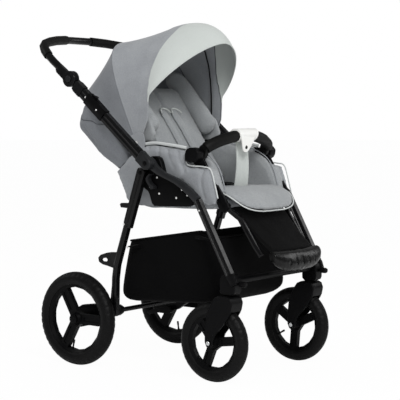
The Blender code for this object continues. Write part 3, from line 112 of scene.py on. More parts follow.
def fabric(name, dark, light, thread, rough=0.92, sheen=0.25, mottle=0.35, gloss=0.2):
    """Woven cloth: two threads crossing, their width in mm, flecked yarn, and a slow change of tone."""
    made, tree = blank(name)
    thread = thread * MM
    where = add(tree, "ShaderNodeTexCoord").outputs["Object"]
    slanted = add(tree, "ShaderNodeMapping", Vector=where, Scale=(0.0, 1.2, 1.2))
    drawn_out = add(tree, "ShaderNodeMapping", Vector=where, Scale=(0.45, 1, 1))
    across = add(tree, "ShaderNodeTexWave", {"wave_type": "BANDS", "bands_direction": "X"},
                 Vector=where, Scale=WAVE_REPEAT / thread, Distortion=0.6, Detail=1.0)
    up = add(tree, "ShaderNodeTexWave", {"wave_type": "BANDS", "bands_direction": "DIAGONAL"},
             Vector=slanted.outputs[0], Scale=WAVE_REPEAT / 2 / thread, Distortion=0.6, Detail=1.0)
    weave = add(tree, "ShaderNodeMath", {"operation": "MAXIMUM"}, _0=across.outputs[1], _1=up.outputs[1])
    fleck = add(tree, "ShaderNodeTexNoise",
                Vector=drawn_out.outputs[0], Scale=0.5 / thread, Detail=3.0, Roughness=0.7)
    slow = add(tree, "ShaderNodeTexNoise", Vector=where, Scale=1 / TONE_PATCH, Detail=2.0)
    tone = add(tree, "ShaderNodeMath", {"operation": "MULTIPLY_ADD"},
               _0=slow.outputs[0], _1=mottle, _2=fleck.outputs[0])
    tone = add(tree, "ShaderNodeMapRange", Value=tone.outputs[0], From_Min=0.35, From_Max=0.95)
    colour = add(tree, "ShaderNodeMix", {"data_type": "RGBA"},
                 _0=tone.outputs[0], _6=lin(dark), _7=lin(light))
    relief = add(tree, "ShaderNodeBump", Height=weave.outputs[0], Strength=0.35, Distance=THREAD_RELIEF)
    cloth = add(tree, "ShaderNodeBsdfPrincipled", Base_Color=colour.outputs[2], Normal=relief.outputs[0],
                Roughness=rough, Sheen_Weight=sheen, Sheen_Roughness=0.45, Specular_IOR_Level=gloss)
    add(tree, "ShaderNodeOutputMaterial", Surface=cloth.outputs[0])
    return made


def moulded(name, dark, light, rough, grain, depth, metal=0.0, gloss=0.5):
    """Moulded or coated surface: fine grain, its size and depth in mm, and a polish that wear changes."""
    made, tree = blank(name)
    where = add(tree, "ShaderNodeTexCoord").outputs["Object"]
    fine = add(tree, "ShaderNodeTexNoise", Vector=where, Scale=1 / (grain * MM), Detail=2.0)
    wear = add(tree, "ShaderNodeTexNoise", Vector=where, Scale=1 / WEAR_PATCH, Detail=4.0, Roughness=0.65)
    edge = add(tree, "ShaderNodeNewGeometry")
    rubbed = add(tree, "ShaderNodeMapRange",
                 Value=edge.outputs["Pointiness"], From_Min=0.50, From_Max=0.62)
    tone = add(tree, "ShaderNodeMath", {"operation": "MULTIPLY_ADD", "use_clamp": True},
               _0=rubbed.outputs[0], _1=0.6, _2=wear.outputs[0])
    colour = add(tree, "ShaderNodeMix", {"data_type": "RGBA"},
                 _0=tone.outputs[0], _6=lin(dark), _7=lin(light))
    polish = add(tree, "ShaderNodeMapRange", Value=wear.outputs[0], From_Min=0.3, From_Max=0.7,
                 To_Min=max(0.05, rough - 0.07), To_Max=rough + 0.07)
    relief = add(tree, "ShaderNodeBump", Height=fine.outputs[0], Strength=0.25, Distance=depth * MM)
    surface = add(tree, "ShaderNodeBsdfPrincipled", Base_Color=colour.outputs[2],
                  Normal=relief.outputs[0], Roughness=polish.outputs[0], Metallic=metal,
                  Specular_IOR_Level=gloss)
    add(tree, "ShaderNodeOutputMaterial", Surface=surface.outputs[0])
    return made


# Grey melange upholstery cloth, woven from flecked yarn: matt and speckled, with a soft sheen. Its
# threads are too fine to show in the render, so they are drawn 0.9 mm wide, and the tapes' 0.6 mm
MELANGE = fabric("grey_melange_cloth", "777a7f", "a5a8ab", 0.9, mottle=0.30)
# The same cloth in a deeper tone, on the back shell and the hood's rear: painted shade for the lesser light
# that reaches them there
MELANGE_PAINTED_SHADE = fabric("melange_cloth_painted_shade", "62656a", "8b8e92", 0.9, mottle=0.30)
# The same cloth on pads, a little lighter where it is stretched over foam
PAD_CLOTH = fabric("grey_pad_cloth", "7c7f82", "a9acad", 0.9, mottle=0.25)
# Pale grey plain-woven cloth of the hood's brim, pad loops and crotch strap: smooth and even
PALE = fabric("pale_grey_cloth", "b3b8b5", "c9cecb", 0.6, rough=0.85, sheen=0.2, mottle=0.15)
# Black woven polyester of the basket and footrest, which swallows the light
BLACK_CLOTH = fabric("black_polyester", "040404", "0d0d0e", 0.9, 0.85, 0.03, mottle=0.2, gloss=0.05)
# Spun polyester thread of the stitching: short matt dashes, a tone darker than the cloth
THREAD = fabric("grey_thread", "6c7075", "94989c", 0.4, rough=0.8, sheen=0.2)
# Woven tape folded over edges, which draws them as a pale line
TAPE = fabric("pale_edge_tape", "b4b8b8", "cfd2d1", 0.6, rough=0.8, sheen=0.2)
# Woven tape along the seams, which draws them as a dark line
DARK_TAPE = fabric("dark_seam_tape", "2b2d30", "44474b", 0.6, rough=0.9, sheen=0.1)
# White leatherette with a pressed leather grain, on the bumper's wrap: a low, soft gloss
WHITE = moulded("white_leatherette", "dcdcda", "e9e9e6", 0.52, 1.6, 0.2, gloss=0.35)
# Black moulded foam of the bumper bar and grips: dull, with broad highlights
FOAM = moulded("black_handle_foam", "060606", "0e0e0d", 0.55, 1.1, 0.3, gloss=0.16)
# Black pressed vinyl of the foot tray, which shines on its ribs
VINYL = moulded("black_vinyl", "040404", "0b0b0b", 0.28, 2.0, 0.2, gloss=0.22)
# Black injection-moulded nylon with a fine spark-eroded grain: satin
BLACK = moulded("black_nylon_moulding", "030304", "0a0a0b", 0.42, 1.0, 0.1, gloss=0.08)
# Aluminium tube with a satin black powder coat: long clear highlights
TUBE = moulded("black_powder_coat", "050506", "0e0e0f", 0.24, 0.7, 0.05, gloss=0.20)
# Grey injection-moulded nylon of the sleeves, levers and sockets: a tone above the black parts
GREY = moulded("grey_nylon_moulding", "151617", "232426", 0.36, 1.0, 0.1, gloss=0.16)
# Moulded tyre rubber: dull black
RUBBER = moulded("tyre_rubber", "060607", "0e0e0e", 0.50, 1.2, 0.2, gloss=0.14)
# Steel bolts, bright from zinc plate
ZINC = moulded("zinc_plate", "b9bbbc", "d8dadb", 0.24, 0.8, 0.03, metal=1.0)
# Painted rivet heads: small pale dots
RIVET = moulded("pale_rivet_head", "c2c4c4", "dededc", 0.38, 1.0, 0.03)


# Small tools for meshes

def plain_mesh(name, verts, faces):
    """A mesh from points in the builder's frame."""
    mesh = bpy.data.meshes.new(name)
    mesh.from_pydata([(x, y + SHIFT, z) for x, y, z in verts], [], faces)
    return mesh


def outward(mesh):
    """The mesh with its faces turned outwards."""
    bm = bmesh.new()
    bm.from_mesh(mesh)
    bmesh.ops.recalc_face_normals(bm, faces=bm.faces)
    bm.to_mesh(mesh)
    bm.free()
    return mesh


def placed(name, data):
    """A new object in the scene."""
    made = bpy.data.objects.new(name, data)
    bpy.context.scene.collection.objects.link(made)
    return made


def finish_mesh(name, verts, faces, look, smooth=50):
    """An object from points, shaded smooth up to an angle in degrees, or all over where that is 0."""
    mesh = outward(plain_mesh(name, verts, faces))
    mesh.shade_smooth()
    if smooth:
        mesh.set_sharp_from_angle(angle=radians(smooth))
    mesh.materials.append(look)
    return placed(name, mesh)


def skin(bodies, caps=True, loop=False):
    """Vertices and faces over rings of points; every body is a list of rings."""
    verts, faces = [], []
    for rings in bodies:
        n, base = len(rings[0]), len(verts)
        for ring in rings:
            verts += [tuple(p) for p in ring]
        count = len(rings)
        for r in range(count if loop else count - 1):
            a, b = base + r * n, base + ((r + 1) % count) * n
            faces += [(a + i, a + (i + 1) % n, b + (i + 1) % n, b + i) for i in range(n)]
        if caps and not loop:
            faces.append(tuple(range(base, base + n)))
            faces.append(tuple(reversed(range(base + (count - 1) * n, base + count * n))))
    return verts, faces


def skinned(name, bodies, look, body, smooth=50):
    """A piece skinned over rings, which rides on a body."""
    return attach(finish_mesh(name, *skin(bodies), look, smooth), body)


def smooth_path(points, count):
    """Points along a smooth curve through the given ones."""
    pts = [Vector(p) for p in points]
    pts = [pts[0] * 2 - pts[1]] + pts + [pts[-1] * 2 - pts[-2]]
    spans = len(pts) - 3
    path = []
    for k in range(count):
        t = k / (count - 1) * spans
        i = min(int(t), spans - 1)
        t -= i
        a, b, c, d = pts[i:i + 4]
        straight = b * 2 + (c - a) * t
        square = (a * 2 - b * 5 + c * 4 - d) * t ** 2
        cube = (b * 3 - a - c * 3 + d) * t ** 3
        path.append((straight + square + cube) * 0.5)
    return path


def side_line(x, points, count):
    """A smooth line through points seen from the side, at a distance from the middle."""
    return smooth_path([(x, y, z) for y, z in points], count)


def even(points, count):
    """Points spread evenly along a line."""
    pts = [Vector(p) for p in points]
    run = [0.0]
    for a, b in zip(pts, pts[1:]):
        run.append(run[-1] + (b - a).length)
    found, i = [], 0
    for k in range(count):
        want = run[-1] * k / (count - 1)
        while i < len(pts) - 2 and run[i + 1] < want:
            i += 1
        t = (want - run[i]) / max(1e-9, run[i + 1] - run[i])
        found.append(pts[i].lerp(pts[i + 1], min(1.0, t)))
    return found


def polar(centre, radius, angle):
    return (centre[0] + radius * cos(radians(angle)), centre[1] + radius * sin(radians(angle)))


def circle(centre, wide, deep, radius, sides, squash=1.0):
    """Points round a circle, or round an oval where its first way is drawn out."""
    points = []
    for k in range(sides):
        a = 2 * pi * k / sides
        points.append(centre + (wide * cos(a) * squash + deep * sin(a)) * radius)
    return points


def swept(path, radius, sides, squash=1.0):
    """Rings of a round or flattened tube along a path."""
    rings, wide = [], None
    for i, here in enumerate(path):
        run = (path[min(i + 1, len(path) - 1)] - path[max(i - 1, 0)]).normalized()
        if wide is None:
            wide = Vector((0, 0, 1)) if abs(run.z) < 0.9 else Vector((0, 1, 0))
        wide = (wide - run * wide.dot(run)).normalized()
        rings.append(circle(here, wide, run.cross(wide), radius, sides, squash))
    return rings


def tube(name, paths, radius, look, body, sides=12, squash=1.0):
    paths = [[Vector(p) for p in path] for path in paths]
    return skinned(name, [swept(path, radius, sides, squash) for path in paths], look, body)


def turned(profile, place, way, sides):
    """A small turned piece: (distance along, radius) pairs about a line through a point."""
    way = Vector(way).normalized()
    wide = way.orthogonal().normalized()
    deep = way.cross(wide)
    return [circle(Vector(place) + way * a, wide, deep, r, sides) for a, r in profile]


def prism(bodies):
    """A mesh of closed plates, each given as (outline seen from the side, inner plane, outer plane)."""
    rings = [[[(x, y, z) for y, z in outline] for x in (x0, x1)] for outline, x0, x1 in bodies]
    return outward(plain_mesh("prism", *skin(rings)))


def baked(obj):
    """The piece with its modifiers applied."""
    graph = bpy.context.evaluated_depsgraph_get()
    mesh = bpy.data.meshes.new_from_object(obj.evaluated_get(graph))
    obj.modifiers.clear()
    obj.data = mesh
    return obj


def crumple(obj, slow, slow_scale, fine, fine_scale, seed):
    """Soft folds: points move along their normals by two sizes of smooth noise."""
    mesh = obj.data
    normals = [v.normal.copy() for v in mesh.vertices]
    for v, n in zip(mesh.vertices, normals):
        p = v.co + Vector((seed, seed * 0.7, 0))
        v.co += n * (slow * noise.noise(p * slow_scale) + fine * noise.noise(p * fine_scale))
    mesh.update()


def groove(obj, path, width, depth):
    """A sewn seam: points near the path sink along their normals."""
    mesh = obj.data
    line = np.array([(x, y + SHIFT, z) for x, y, z in even(path, max(2, len(path) * 3))])
    co = np.array([v.co for v in mesh.vertices])
    nearest = np.full(len(co), 9.0)
    for p, q in zip(line[:-1], line[1:]):
        d = q - p
        t = np.clip(((co - p) @ d) / max(1e-12, d @ d), 0, 1)
        nearest = np.minimum(nearest, np.linalg.norm(co - (p + t[:, None] * d), axis=1))
    normals = np.array([v.normal for v in mesh.vertices])
    sink = depth * np.exp(-(nearest / width) ** 2)
    for i in np.nonzero(sink > depth * 0.02)[0]:
        mesh.vertices[i].co -= Vector(normals[i] * sink[i])
    mesh.update()


CLOTH_FRAMES = 20


def puffed(node, look, voxel, pressure, cap, shrink, mesh=None, name=None, soft=4):
    """A padded piece from a solid: remeshed, shrunk, blown up as cloth under pressure, and subdivided.

    No point moves further than the cap. Without a node, the piece is made from the mesh alone.
    """
    made = placed(name or f"{node}_cover", mesh or nodes[node].data.copy())
    made.data.materials.clear()
    made.data.materials.append(look)
    weld = made.modifiers.new("weld", "WELD")
    weld.merge_threshold = 0.00005
    remesh = made.modifiers.new("remesh", "REMESH")
    remesh.mode = "VOXEL"
    remesh.voxel_size = voxel
    soften = made.modifiers.new("soften", "SMOOTH")
    soften.factor = 0.5
    soften.iterations = soft
    mesh = baked(made).data
    mesh.update()
    start = [v.co.copy() for v in mesh.vertices]
    for v, n in zip(mesh.vertices, [v.normal.copy() for v in mesh.vertices]):
        v.co -= n * shrink
    if pressure:
        cloth = made.modifiers.new("cloth", "CLOTH")
        cloth.settings.use_pressure = True
        cloth.settings.uniform_pressure_force = pressure
        cloth.settings.effector_weights.gravity = 0
        cloth.settings.quality = 4
        cloth.point_cache.frame_start = 1
        cloth.point_cache.frame_end = CLOTH_FRAMES
        for k in range(CLOTH_FRAMES):
            bpy.context.scene.frame_set(k + 1)
        mesh = baked(made).data
        bpy.context.scene.frame_set(1)
        for v, p in zip(mesh.vertices, start):
            move = v.co - p
            if move.length > cap:
                v.co = p + move * (cap / move.length)
    fine = made.modifiers.new("fine", "SUBSURF")
    fine.levels = 1
    baked(made)
    made.data.shade_smooth()
    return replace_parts(made, node) if node else made


def laid_on(surface, path, lift):
    """The path moved onto a surface and lifted off it a little, as (point, direction out) pairs."""
    found = []
    for x, y, z in path:
        spot, out = surface.find_nearest(Vector((x, y + SHIFT, z)))[:2]
        spot = spot + out * lift
        found.append((Vector((spot.x, spot.y - SHIFT, spot.z)), out))
    return found


STITCH_PITCH = 0.0045
STITCH_LENGTH = 0.003
STITCH_HALF = 0.0005
SPINDLE = ((0, 1, 2), (0, 2, 3), (0, 3, 4), (0, 4, 1), (5, 2, 1), (5, 3, 2), (5, 4, 3), (5, 1, 4))


def stitches(name, rows, body):
    """Rows of single stitches: small spindles laid along paths of (point, direction out)."""
    verts, faces = [], []
    for row in rows:
        points = [p for p, n in row]
        length = sum((b - a).length for a, b in zip(points, points[1:]))
        count = max(2, int(length / STITCH_PITCH))
        spots = even(points, count)
        for i, (a, b) in enumerate(zip(spots, spots[1:])):
            n = row[min(len(row) - 1, int(i / count * len(row)))][1]
            run = (b - a).normalized()
            wide = run.cross(n).normalized() * STITCH_HALF
            mid = (a + b) / 2
            base = len(verts)
            verts += [mid - run * STITCH_LENGTH / 2, mid + wide, mid + n * STITCH_HALF,
                      mid - wide, mid - n * STITCH_HALF, mid + run * STITCH_LENGTH / 2]
            faces += [tuple(base + corner for corner in face) for face in SPINDLE]
    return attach(finish_mesh(name, verts, faces, THREAD, 0), body)


def crisp(node, look, edge, angle=38):
    """A rigid node keeps its solid and gets softened edges and its finish."""
    obj = nodes[node]
    obj.data.materials.clear()
    obj.data.materials.append(look)
    obj.data.shade_smooth()
    if "custom_normal" in obj.data.attributes:
        obj.data.attributes.remove(obj.data.attributes["custom_normal"])
    weld = obj.modifiers.new("weld", "WELD")
    weld.merge_threshold = 0.00003
    if edge:
        soft = obj.modifiers.new("edge", "BEVEL")
        soft.width = edge
        soft.segments = 2
        soft.limit_method = "ANGLE"
        soft.angle_limit = radians(angle)
        soft.use_clamp_overlap = True
    split = obj.modifiers.new("split", "EDGE_SPLIT")
    split.split_angle = radians(angle)


# Rigid nodes that keep their solids: look, width of the softened edges, nodes on both sides, single nodes
RIGID = ((BLACK, 0.001, ("side_plate", "swing_arm", "brake_pedal"), ()),
         (BLACK, 0.0008, (), ("buckle",)),
         (BLACK, 0.0006, ("swivel_lock",), ("seat_frame",)),
         (BLACK, 0.0, ("release_slider", "fork", "front_rim", "rear_rim"),
          ("front_beam", "canopy_front_bow")),
         (GREY, 0.0008, ("lock_lever", "tube_socket"), ()),
         (GREY, 0.0005, ("angle_button",), ()),
         (GREY, 0.0, ("leg_sleeve",), ()),
         (TUBE, 0.0, ("front_leg", "handle_tube", "rear_leg"),
          ("rear_cross_tube", "handle_bar", "footrest_frame")),
         (FOAM, 0.0, ("grip",), ("bumper_bar",)))
for look, edge, pairs, singles in RIGID:
    for node in [f"{pair}_{hand}" for pair in pairs for s, hand in BOTH] + list(singles):
        crisp(node, look, edge)


# Wheels: tyres with a moulded tread, valves, hub caps and axle bolts

GROOVES_AT = (-0.0062, 0.0062)
GROOVE_HALF = 0.0016
GROOVE_DEPTH = 0.0012
LUG_DEPTH = 0.0011
LUG_FROM = 0.0075
WALL_LINE = 0.0004
# Kind, radius, half the tyre's width, half track, axle, ribs round the tread, and the valve's distance
# from the axle, its length and its angles on the right and left wheels
WHEELS = (("rear", 0.1525, 0.024, REAR_HALF_TRACK, REAR_AXLE, 44, 0.104, 0.03, (282, 262)),
          ("front", 0.1225, 0.021, FRONT_HALF_TRACK, FRONT_AXLE, 36, 0.08, 0.026, (178, 330)))
HUB_CAP = ((0.0, 0.015), (0.0022, 0.0146), (0.0032, 0.012), (0.0034, 0.008), (0.0046, 0.007),
           (0.0052, 0.0035))
HUB_FACE = 0.0222
AXLE_BOLT = ((-0.001, 0.0072), (0.0004, 0.0072), (0.0011, 0.0064), (0.0012, 0.0032), (0.0003, 0.003))
FORK_FACE = 0.021 + 0.0017 + 0.0085 + 0.0032


def tyre(name, radius, size, half_track, axle, s, ribs):
    """A tyre turned from its section, with two grooves round it and cross grooves cut into its shoulders."""
    start = -asin(0.69) + 0.02
    angles = [start + (pi - 2 * start) * k / 32 for k in range(33)]
    section = [(size * cos(a), radius - size + size * sin(a), a) for a in angles]
    turns = ribs * 6
    rings = []
    for k in range(turns):
        t = 2 * pi * k / turns
        ring = []
        for w, r, a in section:
            crown = max(0.0, sin(a) - 0.35) / 0.65
            sunk = 0.0
            if crown > 0:
                sunk = GROOVE_DEPTH * sum(max(0.0, 1 - abs(w - at) / GROOVE_HALF) for at in GROOVES_AT)
            if (k + (3 if w > 0 else 0)) % 6 < 2 and 0.15 < crown < 0.85 and abs(w) > LUG_FROM:
                sunk += LUG_DEPTH
            wall = WALL_LINE * max(0.0, 1 - abs(sin(a) - 0.02) / 0.06)
            r = r - sunk * sin(a)
            w = w - sunk * cos(a) + wall * cos(a)
            ring.append((s * (half_track + w), axle[0] + r * cos(t), axle[1] + r * sin(t)))
        rings.append(ring)
    return finish_mesh(name, *skin([rings], loop=True), RUBBER, 40)


for s, hand in BOTH:
    for kind, radius, size, half_track, axle, ribs, reach, length, angles in WHEELS:
        wheel = f"{kind}_wheel_{hand}"
        made = tyre(f"{kind}_tyre_tread_{hand}", radius, size, half_track, axle, s, ribs)
        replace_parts(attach(made, wheel), f"{kind}_tyre_{hand}")
        at = angles[0 if s < 0 else 1]
        inward = (0, -cos(radians(at)), -sin(radians(at)))
        profile = [(-0.003, 0.0042), (0.004, 0.004), (0.006, 0.003), (length * 0.6, 0.0028),
                   (length * 0.62, 0.0034), (length, 0.0034), (length + 0.001, 0.0022)]
        valve = turned(profile, (s * half_track, *polar(axle, reach, at)), inward, 12)
        skinned(f"{kind}_valve_{hand}", [valve], RUBBER, wheel, 35)
    cap = turned(HUB_CAP, (s * (REAR_HALF_TRACK + HUB_FACE), *REAR_AXLE), (s, 0, 0), 28)
    skinned(f"rear_hub_cap_{hand}", [cap], BLACK, f"swing_arm_{hand}", 30)
    bolts = [turned(AXLE_BOLT, (s * FRONT_HALF_TRACK + side * FORK_FACE, *FRONT_AXLE), (side, 0, 0), 6)
             for side in (-1, 1)]
    skinned(f"front_axle_bolt_{hand}", bolts, ZINC, f"fork_{hand}", 30)


# Hood: three cloths between leaning arches, with taped seams, pipings and stitches

HOOD_POINTS = 81


def arch(centre, angle, height, power, half, foot=0.0):
    """Points over an arch with a rounded crown that leans from its centre, above its foot."""
    c, s = cos(radians(angle)), sin(radians(angle))
    first = asin((foot / height) ** (power / 2)) if foot else 0.0
    pts = []
    for k in range(361):
        a = first + (pi - 2 * first) * k / 360
        r = height * abs(sin(a)) ** (2 / power)
        w = half * abs(cos(a)) ** (2 / power) * (-1 if cos(a) > 0 else 1)
        pts.append((w, centre[0] + r * c, centre[1] + r * s))
    return even(pts, HOOD_POINTS)


def front_edge():
    """The hood's front edge: up its side, and over the brim's arch."""
    over = arch(BRIM_FOOT, *BRIM_EDGE, HOOD_HALF)
    rise = [Vector((-HOOD_HALF, 0.044, 0.746)), Vector((-HOOD_HALF, 0.021, 0.80))]
    fall = [Vector((-p.x, p.y, p.z)) for p in reversed(rise)]
    return even(rise + over + fall, HOOD_POINTS)


# The seam under the brim: points along the edge from its foot, and how far forward the seam lies there,
# as a share of the way from the front bow to the edge
BRIM_SEAM = ((0, 9, 11, 12, 15, 18, 24, 27, 30, 36, 40),
             (0.96, 0.96, 0.66, 0.45, 0.20, 0.13, 0.15, 0.19, 0.22, 0.20, 0.18))
BRIM_SEAM_ROW = 6
BRIM_ROWS = 24
CLOTH_THICK = 0.0022
SEAM_DIP = 0.0009


def panel(name, first, last, steps, sag, way, look, seed, folds=0.0012, under=None):
    """Cloth between two lines, bulging or sagging on its way, with soft folds that fade at its two seams.

    With a second cloth, the rows up to the brim's seam are made of that one.
    """
    top = max(p.z for p in first)
    low = HOOD_PIVOT[1]
    count = len(first)
    rows = []
    for k in range(steps + 1):
        t = k / steps
        row = []
        for j, (a, b) in enumerate(zip(first, last)):
            if under:
                seam = float(np.interp(min(j, count - 1 - j), *BRIM_SEAM))
                t = seam * k / BRIM_SEAM_ROW
                if k > BRIM_SEAM_ROW:
                    t = seam + (1 - seam) * (k - BRIM_SEAM_ROW) / (steps - BRIM_SEAM_ROW)
            p = a.lerp(b, t)
            row.append(p + Vector(way) * (sag * 4 * t * (1 - t) * max(0.0, (p.z - low) / (top - low))))
        rows.append(row)
    outer, rings = [], []
    for i, row in enumerate(rows):
        outside, inside = [], []
        fade = sin(pi * i / steps)
        dip = -SEAM_DIP * max(0.0, 1 - min(i, steps - i) / 1.2)
        for j, p in enumerate(row):
            along = rows[min(i + 1, steps)][j] - rows[max(i - 1, 0)][j]
            across = row[min(j + 1, count - 1)] - row[max(j - 1, 0)]
            normal = across.cross(along).normalized()
            slow = noise.noise(Vector((j * 0.09 + seed, i * 0.05, seed)))
            quick = noise.noise(Vector((j * 0.25, i * 0.12, seed + 4)))
            fold = folds * fade * (slow * 1.6 + 0.5 * quick)
            outside.append(p + normal * (fold + dip))
            inside.append(p + normal * (fold + dip - CLOTH_THICK))
        outer.append(outside)
        rings.append(outside + list(reversed(inside)))
    verts, faces = skin([rings], caps=False)
    m = len(rings[0])
    for base in (0, steps * m):
        faces += [(base + j, base + j + 1, base + m - 2 - j, base + m - 1 - j) for j in range(count - 1)]
    made = finish_mesh(name, verts, faces, look, 60)
    if under:
        made.data.materials.append(under)
        for face in made.data.polygons:
            if min(v // m for v in face.vertices) < BRIM_SEAM_ROW:
                face.material_index = 1
    return made, outer


def seam_rows(rows, at, lift=0.0004):
    """Points and outward directions of a line of stitches beside a seam, at a share of the panel's depth."""
    k = at * (len(rows) - 1)
    i = min(int(k), len(rows) - 2)
    line = [a.lerp(b, k - i) for a, b in zip(rows[i], rows[i + 1])]
    found = []
    for j, p in enumerate(line):
        along = rows[i + 1][j] - rows[i][j]
        across = line[min(j + 1, len(line) - 1)] - line[max(j - 1, 0)]
        n = across.cross(along).normalized()
        found.append((p + n * lift, n))
    return found


back_edge = arch(HOOD_PIVOT, *BACK_EDGE, HOOD_HALF, HOOD_FOOT)
rear_seam = arch(HOOD_PIVOT, *REAR_BOW, HOOD_HALF, HOOD_FOOT)
front_seam = arch(HOOD_PIVOT, *FRONT_BOW, HOOD_HALF, HOOD_FOOT)
# The hood's rear cloth is the darker cloth, whose deeper tone is painted shade
rear_panel, rear_rows = panel("hood_rear_cloth", back_edge, rear_seam, 16, -0.003, (0, 0.7, 0.7),
                              MELANGE_PAINTED_SHADE, 1.0)
mid_panel, mid_rows = panel("hood_middle_cloth", rear_seam, front_seam, 18, -0.004, (0, 0.2, 0.98),
                            MELANGE, 5.0)
brim, brim_rows = panel("hood_brim_cloth", front_seam, front_edge(), BRIM_ROWS, 0.036, (0, -0.45, 0.89),
                        PALE, 9.0, folds=0.0008, under=MELANGE)
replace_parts(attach(rear_panel, "seat_unit"), "canopy_rear_panel")
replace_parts(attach(brim, "canopy_front"), "canopy_brim")
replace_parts(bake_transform(mid_panel), "canopy_mid_panel")
stitches("hood_rear_stitches", [seam_rows(rear_rows, 0.965), seam_rows(rear_rows, 0.03)], "seat_unit")
stitches("hood_brim_stitches",
         [seam_rows(brim_rows, BRIM_SEAM_ROW / BRIM_ROWS - 0.012), seam_rows(brim_rows, 0.975)],
         "canopy_front")
tube("hood_rear_seam", [rear_rows[-1]], 0.0012, DARK_TAPE, "seat_unit", 8)
tube("hood_front_seam", [brim_rows[BRIM_SEAM_ROW]], 0.0013, DARK_TAPE, "canopy_front", 8)
tube("hood_brim_piping", [brim_rows[-1][10:-10]], 0.0017, PALE, "canopy_front", 10)
tube("hood_side_binding", [brim_rows[-1][:11], brim_rows[-1][-11:]], 0.0019, MELANGE, "canopy_front", 10)
# The hood's rear piping is the darker cloth too, with its painted shade
tube("hood_rear_piping", [rear_rows[0]], 0.0015, MELANGE_PAINTED_SHADE, "seat_unit", 10)


# Back shell: padded cloth with its side and lower seams

SHELL_SEAMS = (((0.34, 0.808), (0.3258, 0.8043), (0.2603, 0.7946), (0.1832, 0.7721), (0.156, 0.76)),
               ((0.172, 0.63), (0.1584, 0.6426), (0.1373, 0.6593), (0.1121, 0.676), (0.0995, 0.6858)))
SEAM_WIDTH = 0.0035
SEAM_DEPTH = 0.0022
STITCH_OFFSET = Vector((0, 0, 0.006))
# The back shell is the darker cloth, whose deeper tone is painted shade
shell = puffed("backrest_shell", MELANGE_PAINTED_SHADE, 0.006, 3.0, 0.005, 0.003)
for s, hand in BOTH:
    for line in SHELL_SEAMS:
        groove(shell, side_line(s * 0.176, line, 24), SEAM_WIDTH, SEAM_DEPTH)
groove(shell, [(x, 0.35, 0.8095) for x in np.linspace(-0.17, 0.17, 24)], SEAM_WIDTH, SEAM_DEPTH)
crumple(shell, 0.0014, 11.0, 0.0004, 45.0, 3.0)
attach(shell, "backrest")
shell_surface = BVHTree.FromObject(shell, bpy.context.evaluated_depsgraph_get())
for s, hand in BOTH:
    seams = [laid_on(shell_surface, side_line(s * 0.19, line, 40), 0.0003) for line in SHELL_SEAMS]
    lines = [[p for p, n in line] for line in seams]
    tube(f"shell_side_seams_{hand}", lines, 0.001, DARK_TAPE, "backrest", 8)
    beside = [[(p + STITCH_OFFSET, n) for p, n in line] for line in seams]
    stitches(f"shell_side_stitches_{hand}", beside, "backrest")


# Seat: side walls over the frame, the back cushion between its bolsters, harness pads and the seat's pads

WALL = ((0.046, 0.733), (0.02, 0.7305), (-0.06, 0.7225), (-0.133, 0.711), (-0.1365, 0.669),
        (-0.152, 0.657), (-0.205, 0.653), (-0.228, 0.645), (-0.243, 0.603), (-0.252, 0.566),
        (-0.248, 0.548), (-0.225, 0.56), (-0.10, 0.562), (0.046, 0.564))
INNER_WALL = ((0.05, 0.726), (-0.04, 0.719), (-0.095, 0.711), (-0.134, 0.702), (-0.172, 0.688),
              (-0.20, 0.67), (-0.22, 0.645), (-0.234, 0.61), (-0.246, 0.574), (-0.244, 0.558),
              (-0.15, 0.56), (0.02, 0.562), (0.05, 0.64))
OUTER_WALL = ((0.15, 0.636), (0.098, 0.686), (0.047, 0.713), (0.02, 0.724), (-0.03, 0.7245),
              (-0.1375, 0.711), (-0.1375, 0.668), (-0.152, 0.657), (-0.205, 0.654), (-0.232, 0.6465),
              (-0.2475, 0.601), (-0.258, 0.56), (-0.252, 0.54), (-0.225, 0.534), (-0.196, 0.546),
              (-0.16, 0.58), (-0.12, 0.602), (-0.03, 0.602), (-0.016, 0.59), (-0.008, 0.53),
              (0.004, 0.523), (0.053, 0.521), (0.11, 0.541))
TOP_EDGE = ((0.038, 0.721), (0.0134, 0.725), (-0.0149, 0.7262), (-0.0548, 0.7224), (-0.104, 0.717),
            (-0.134, 0.712))
FRONT_EDGE = ((-0.1385, 0.706), (-0.1385, 0.672), (-0.15, 0.659), (-0.204, 0.6555), (-0.232, 0.647),
              (-0.248, 0.601), (-0.259, 0.56))
WALL_EDGE = ((-0.06, 0.7195), (-0.134, 0.706), (-0.19, 0.683), (-0.224, 0.645), (-0.248, 0.576))
GATHERS = (((0.046, 0.716), (0.034, 0.69), (0.03, 0.655)),
           ((0.012, 0.722), (0.004, 0.69), (-0.004, 0.65)),
           ((-0.026, 0.722), (-0.034, 0.69), (-0.05, 0.65)),
           ((-0.06, 0.719), (-0.07, 0.69), (-0.094, 0.65)),
           ((-0.10, 0.714), (-0.112, 0.68), (-0.13, 0.64)),
           ((-0.205, 0.651), (-0.196, 0.61), (-0.21, 0.56)))
BACK_FACE = ((-0.048, 0.612), (0.0093, 0.6942), (0.0367, 0.7349), (0.0748, 0.7895), (0.1132, 0.8418),
             (0.15, 0.894))
BACK_HALF = 0.133
CUSHION = (*BACK_FACE, (0.18, 0.908), (0.242, 0.872), (0.248, 0.856), (0.07, 0.632),
           (0.05, 0.596), (-0.03, 0.593))
BOLSTER_SPINE = ((0.153, 0.03, 0.756), (0.153, 0.056, 0.79), (0.153, 0.1085, 0.8539),
                 (0.151, 0.164, 0.916), (0.144, 0.206, 0.948))
BOLSTER_WIDE = 0.0235
BOLSTER_DEEP = 0.039
GUSSET = ((0.016, 0.729), (0.006, 0.756), (0.024, 0.80), (0.10, 0.86), (0.17, 0.86),
          (0.10, 0.729))
HARNESS_X = 0.0285
HARNESS_HALF = 0.024
HARNESS_FOOT = 0.645
HARNESS_TOP = 0.834
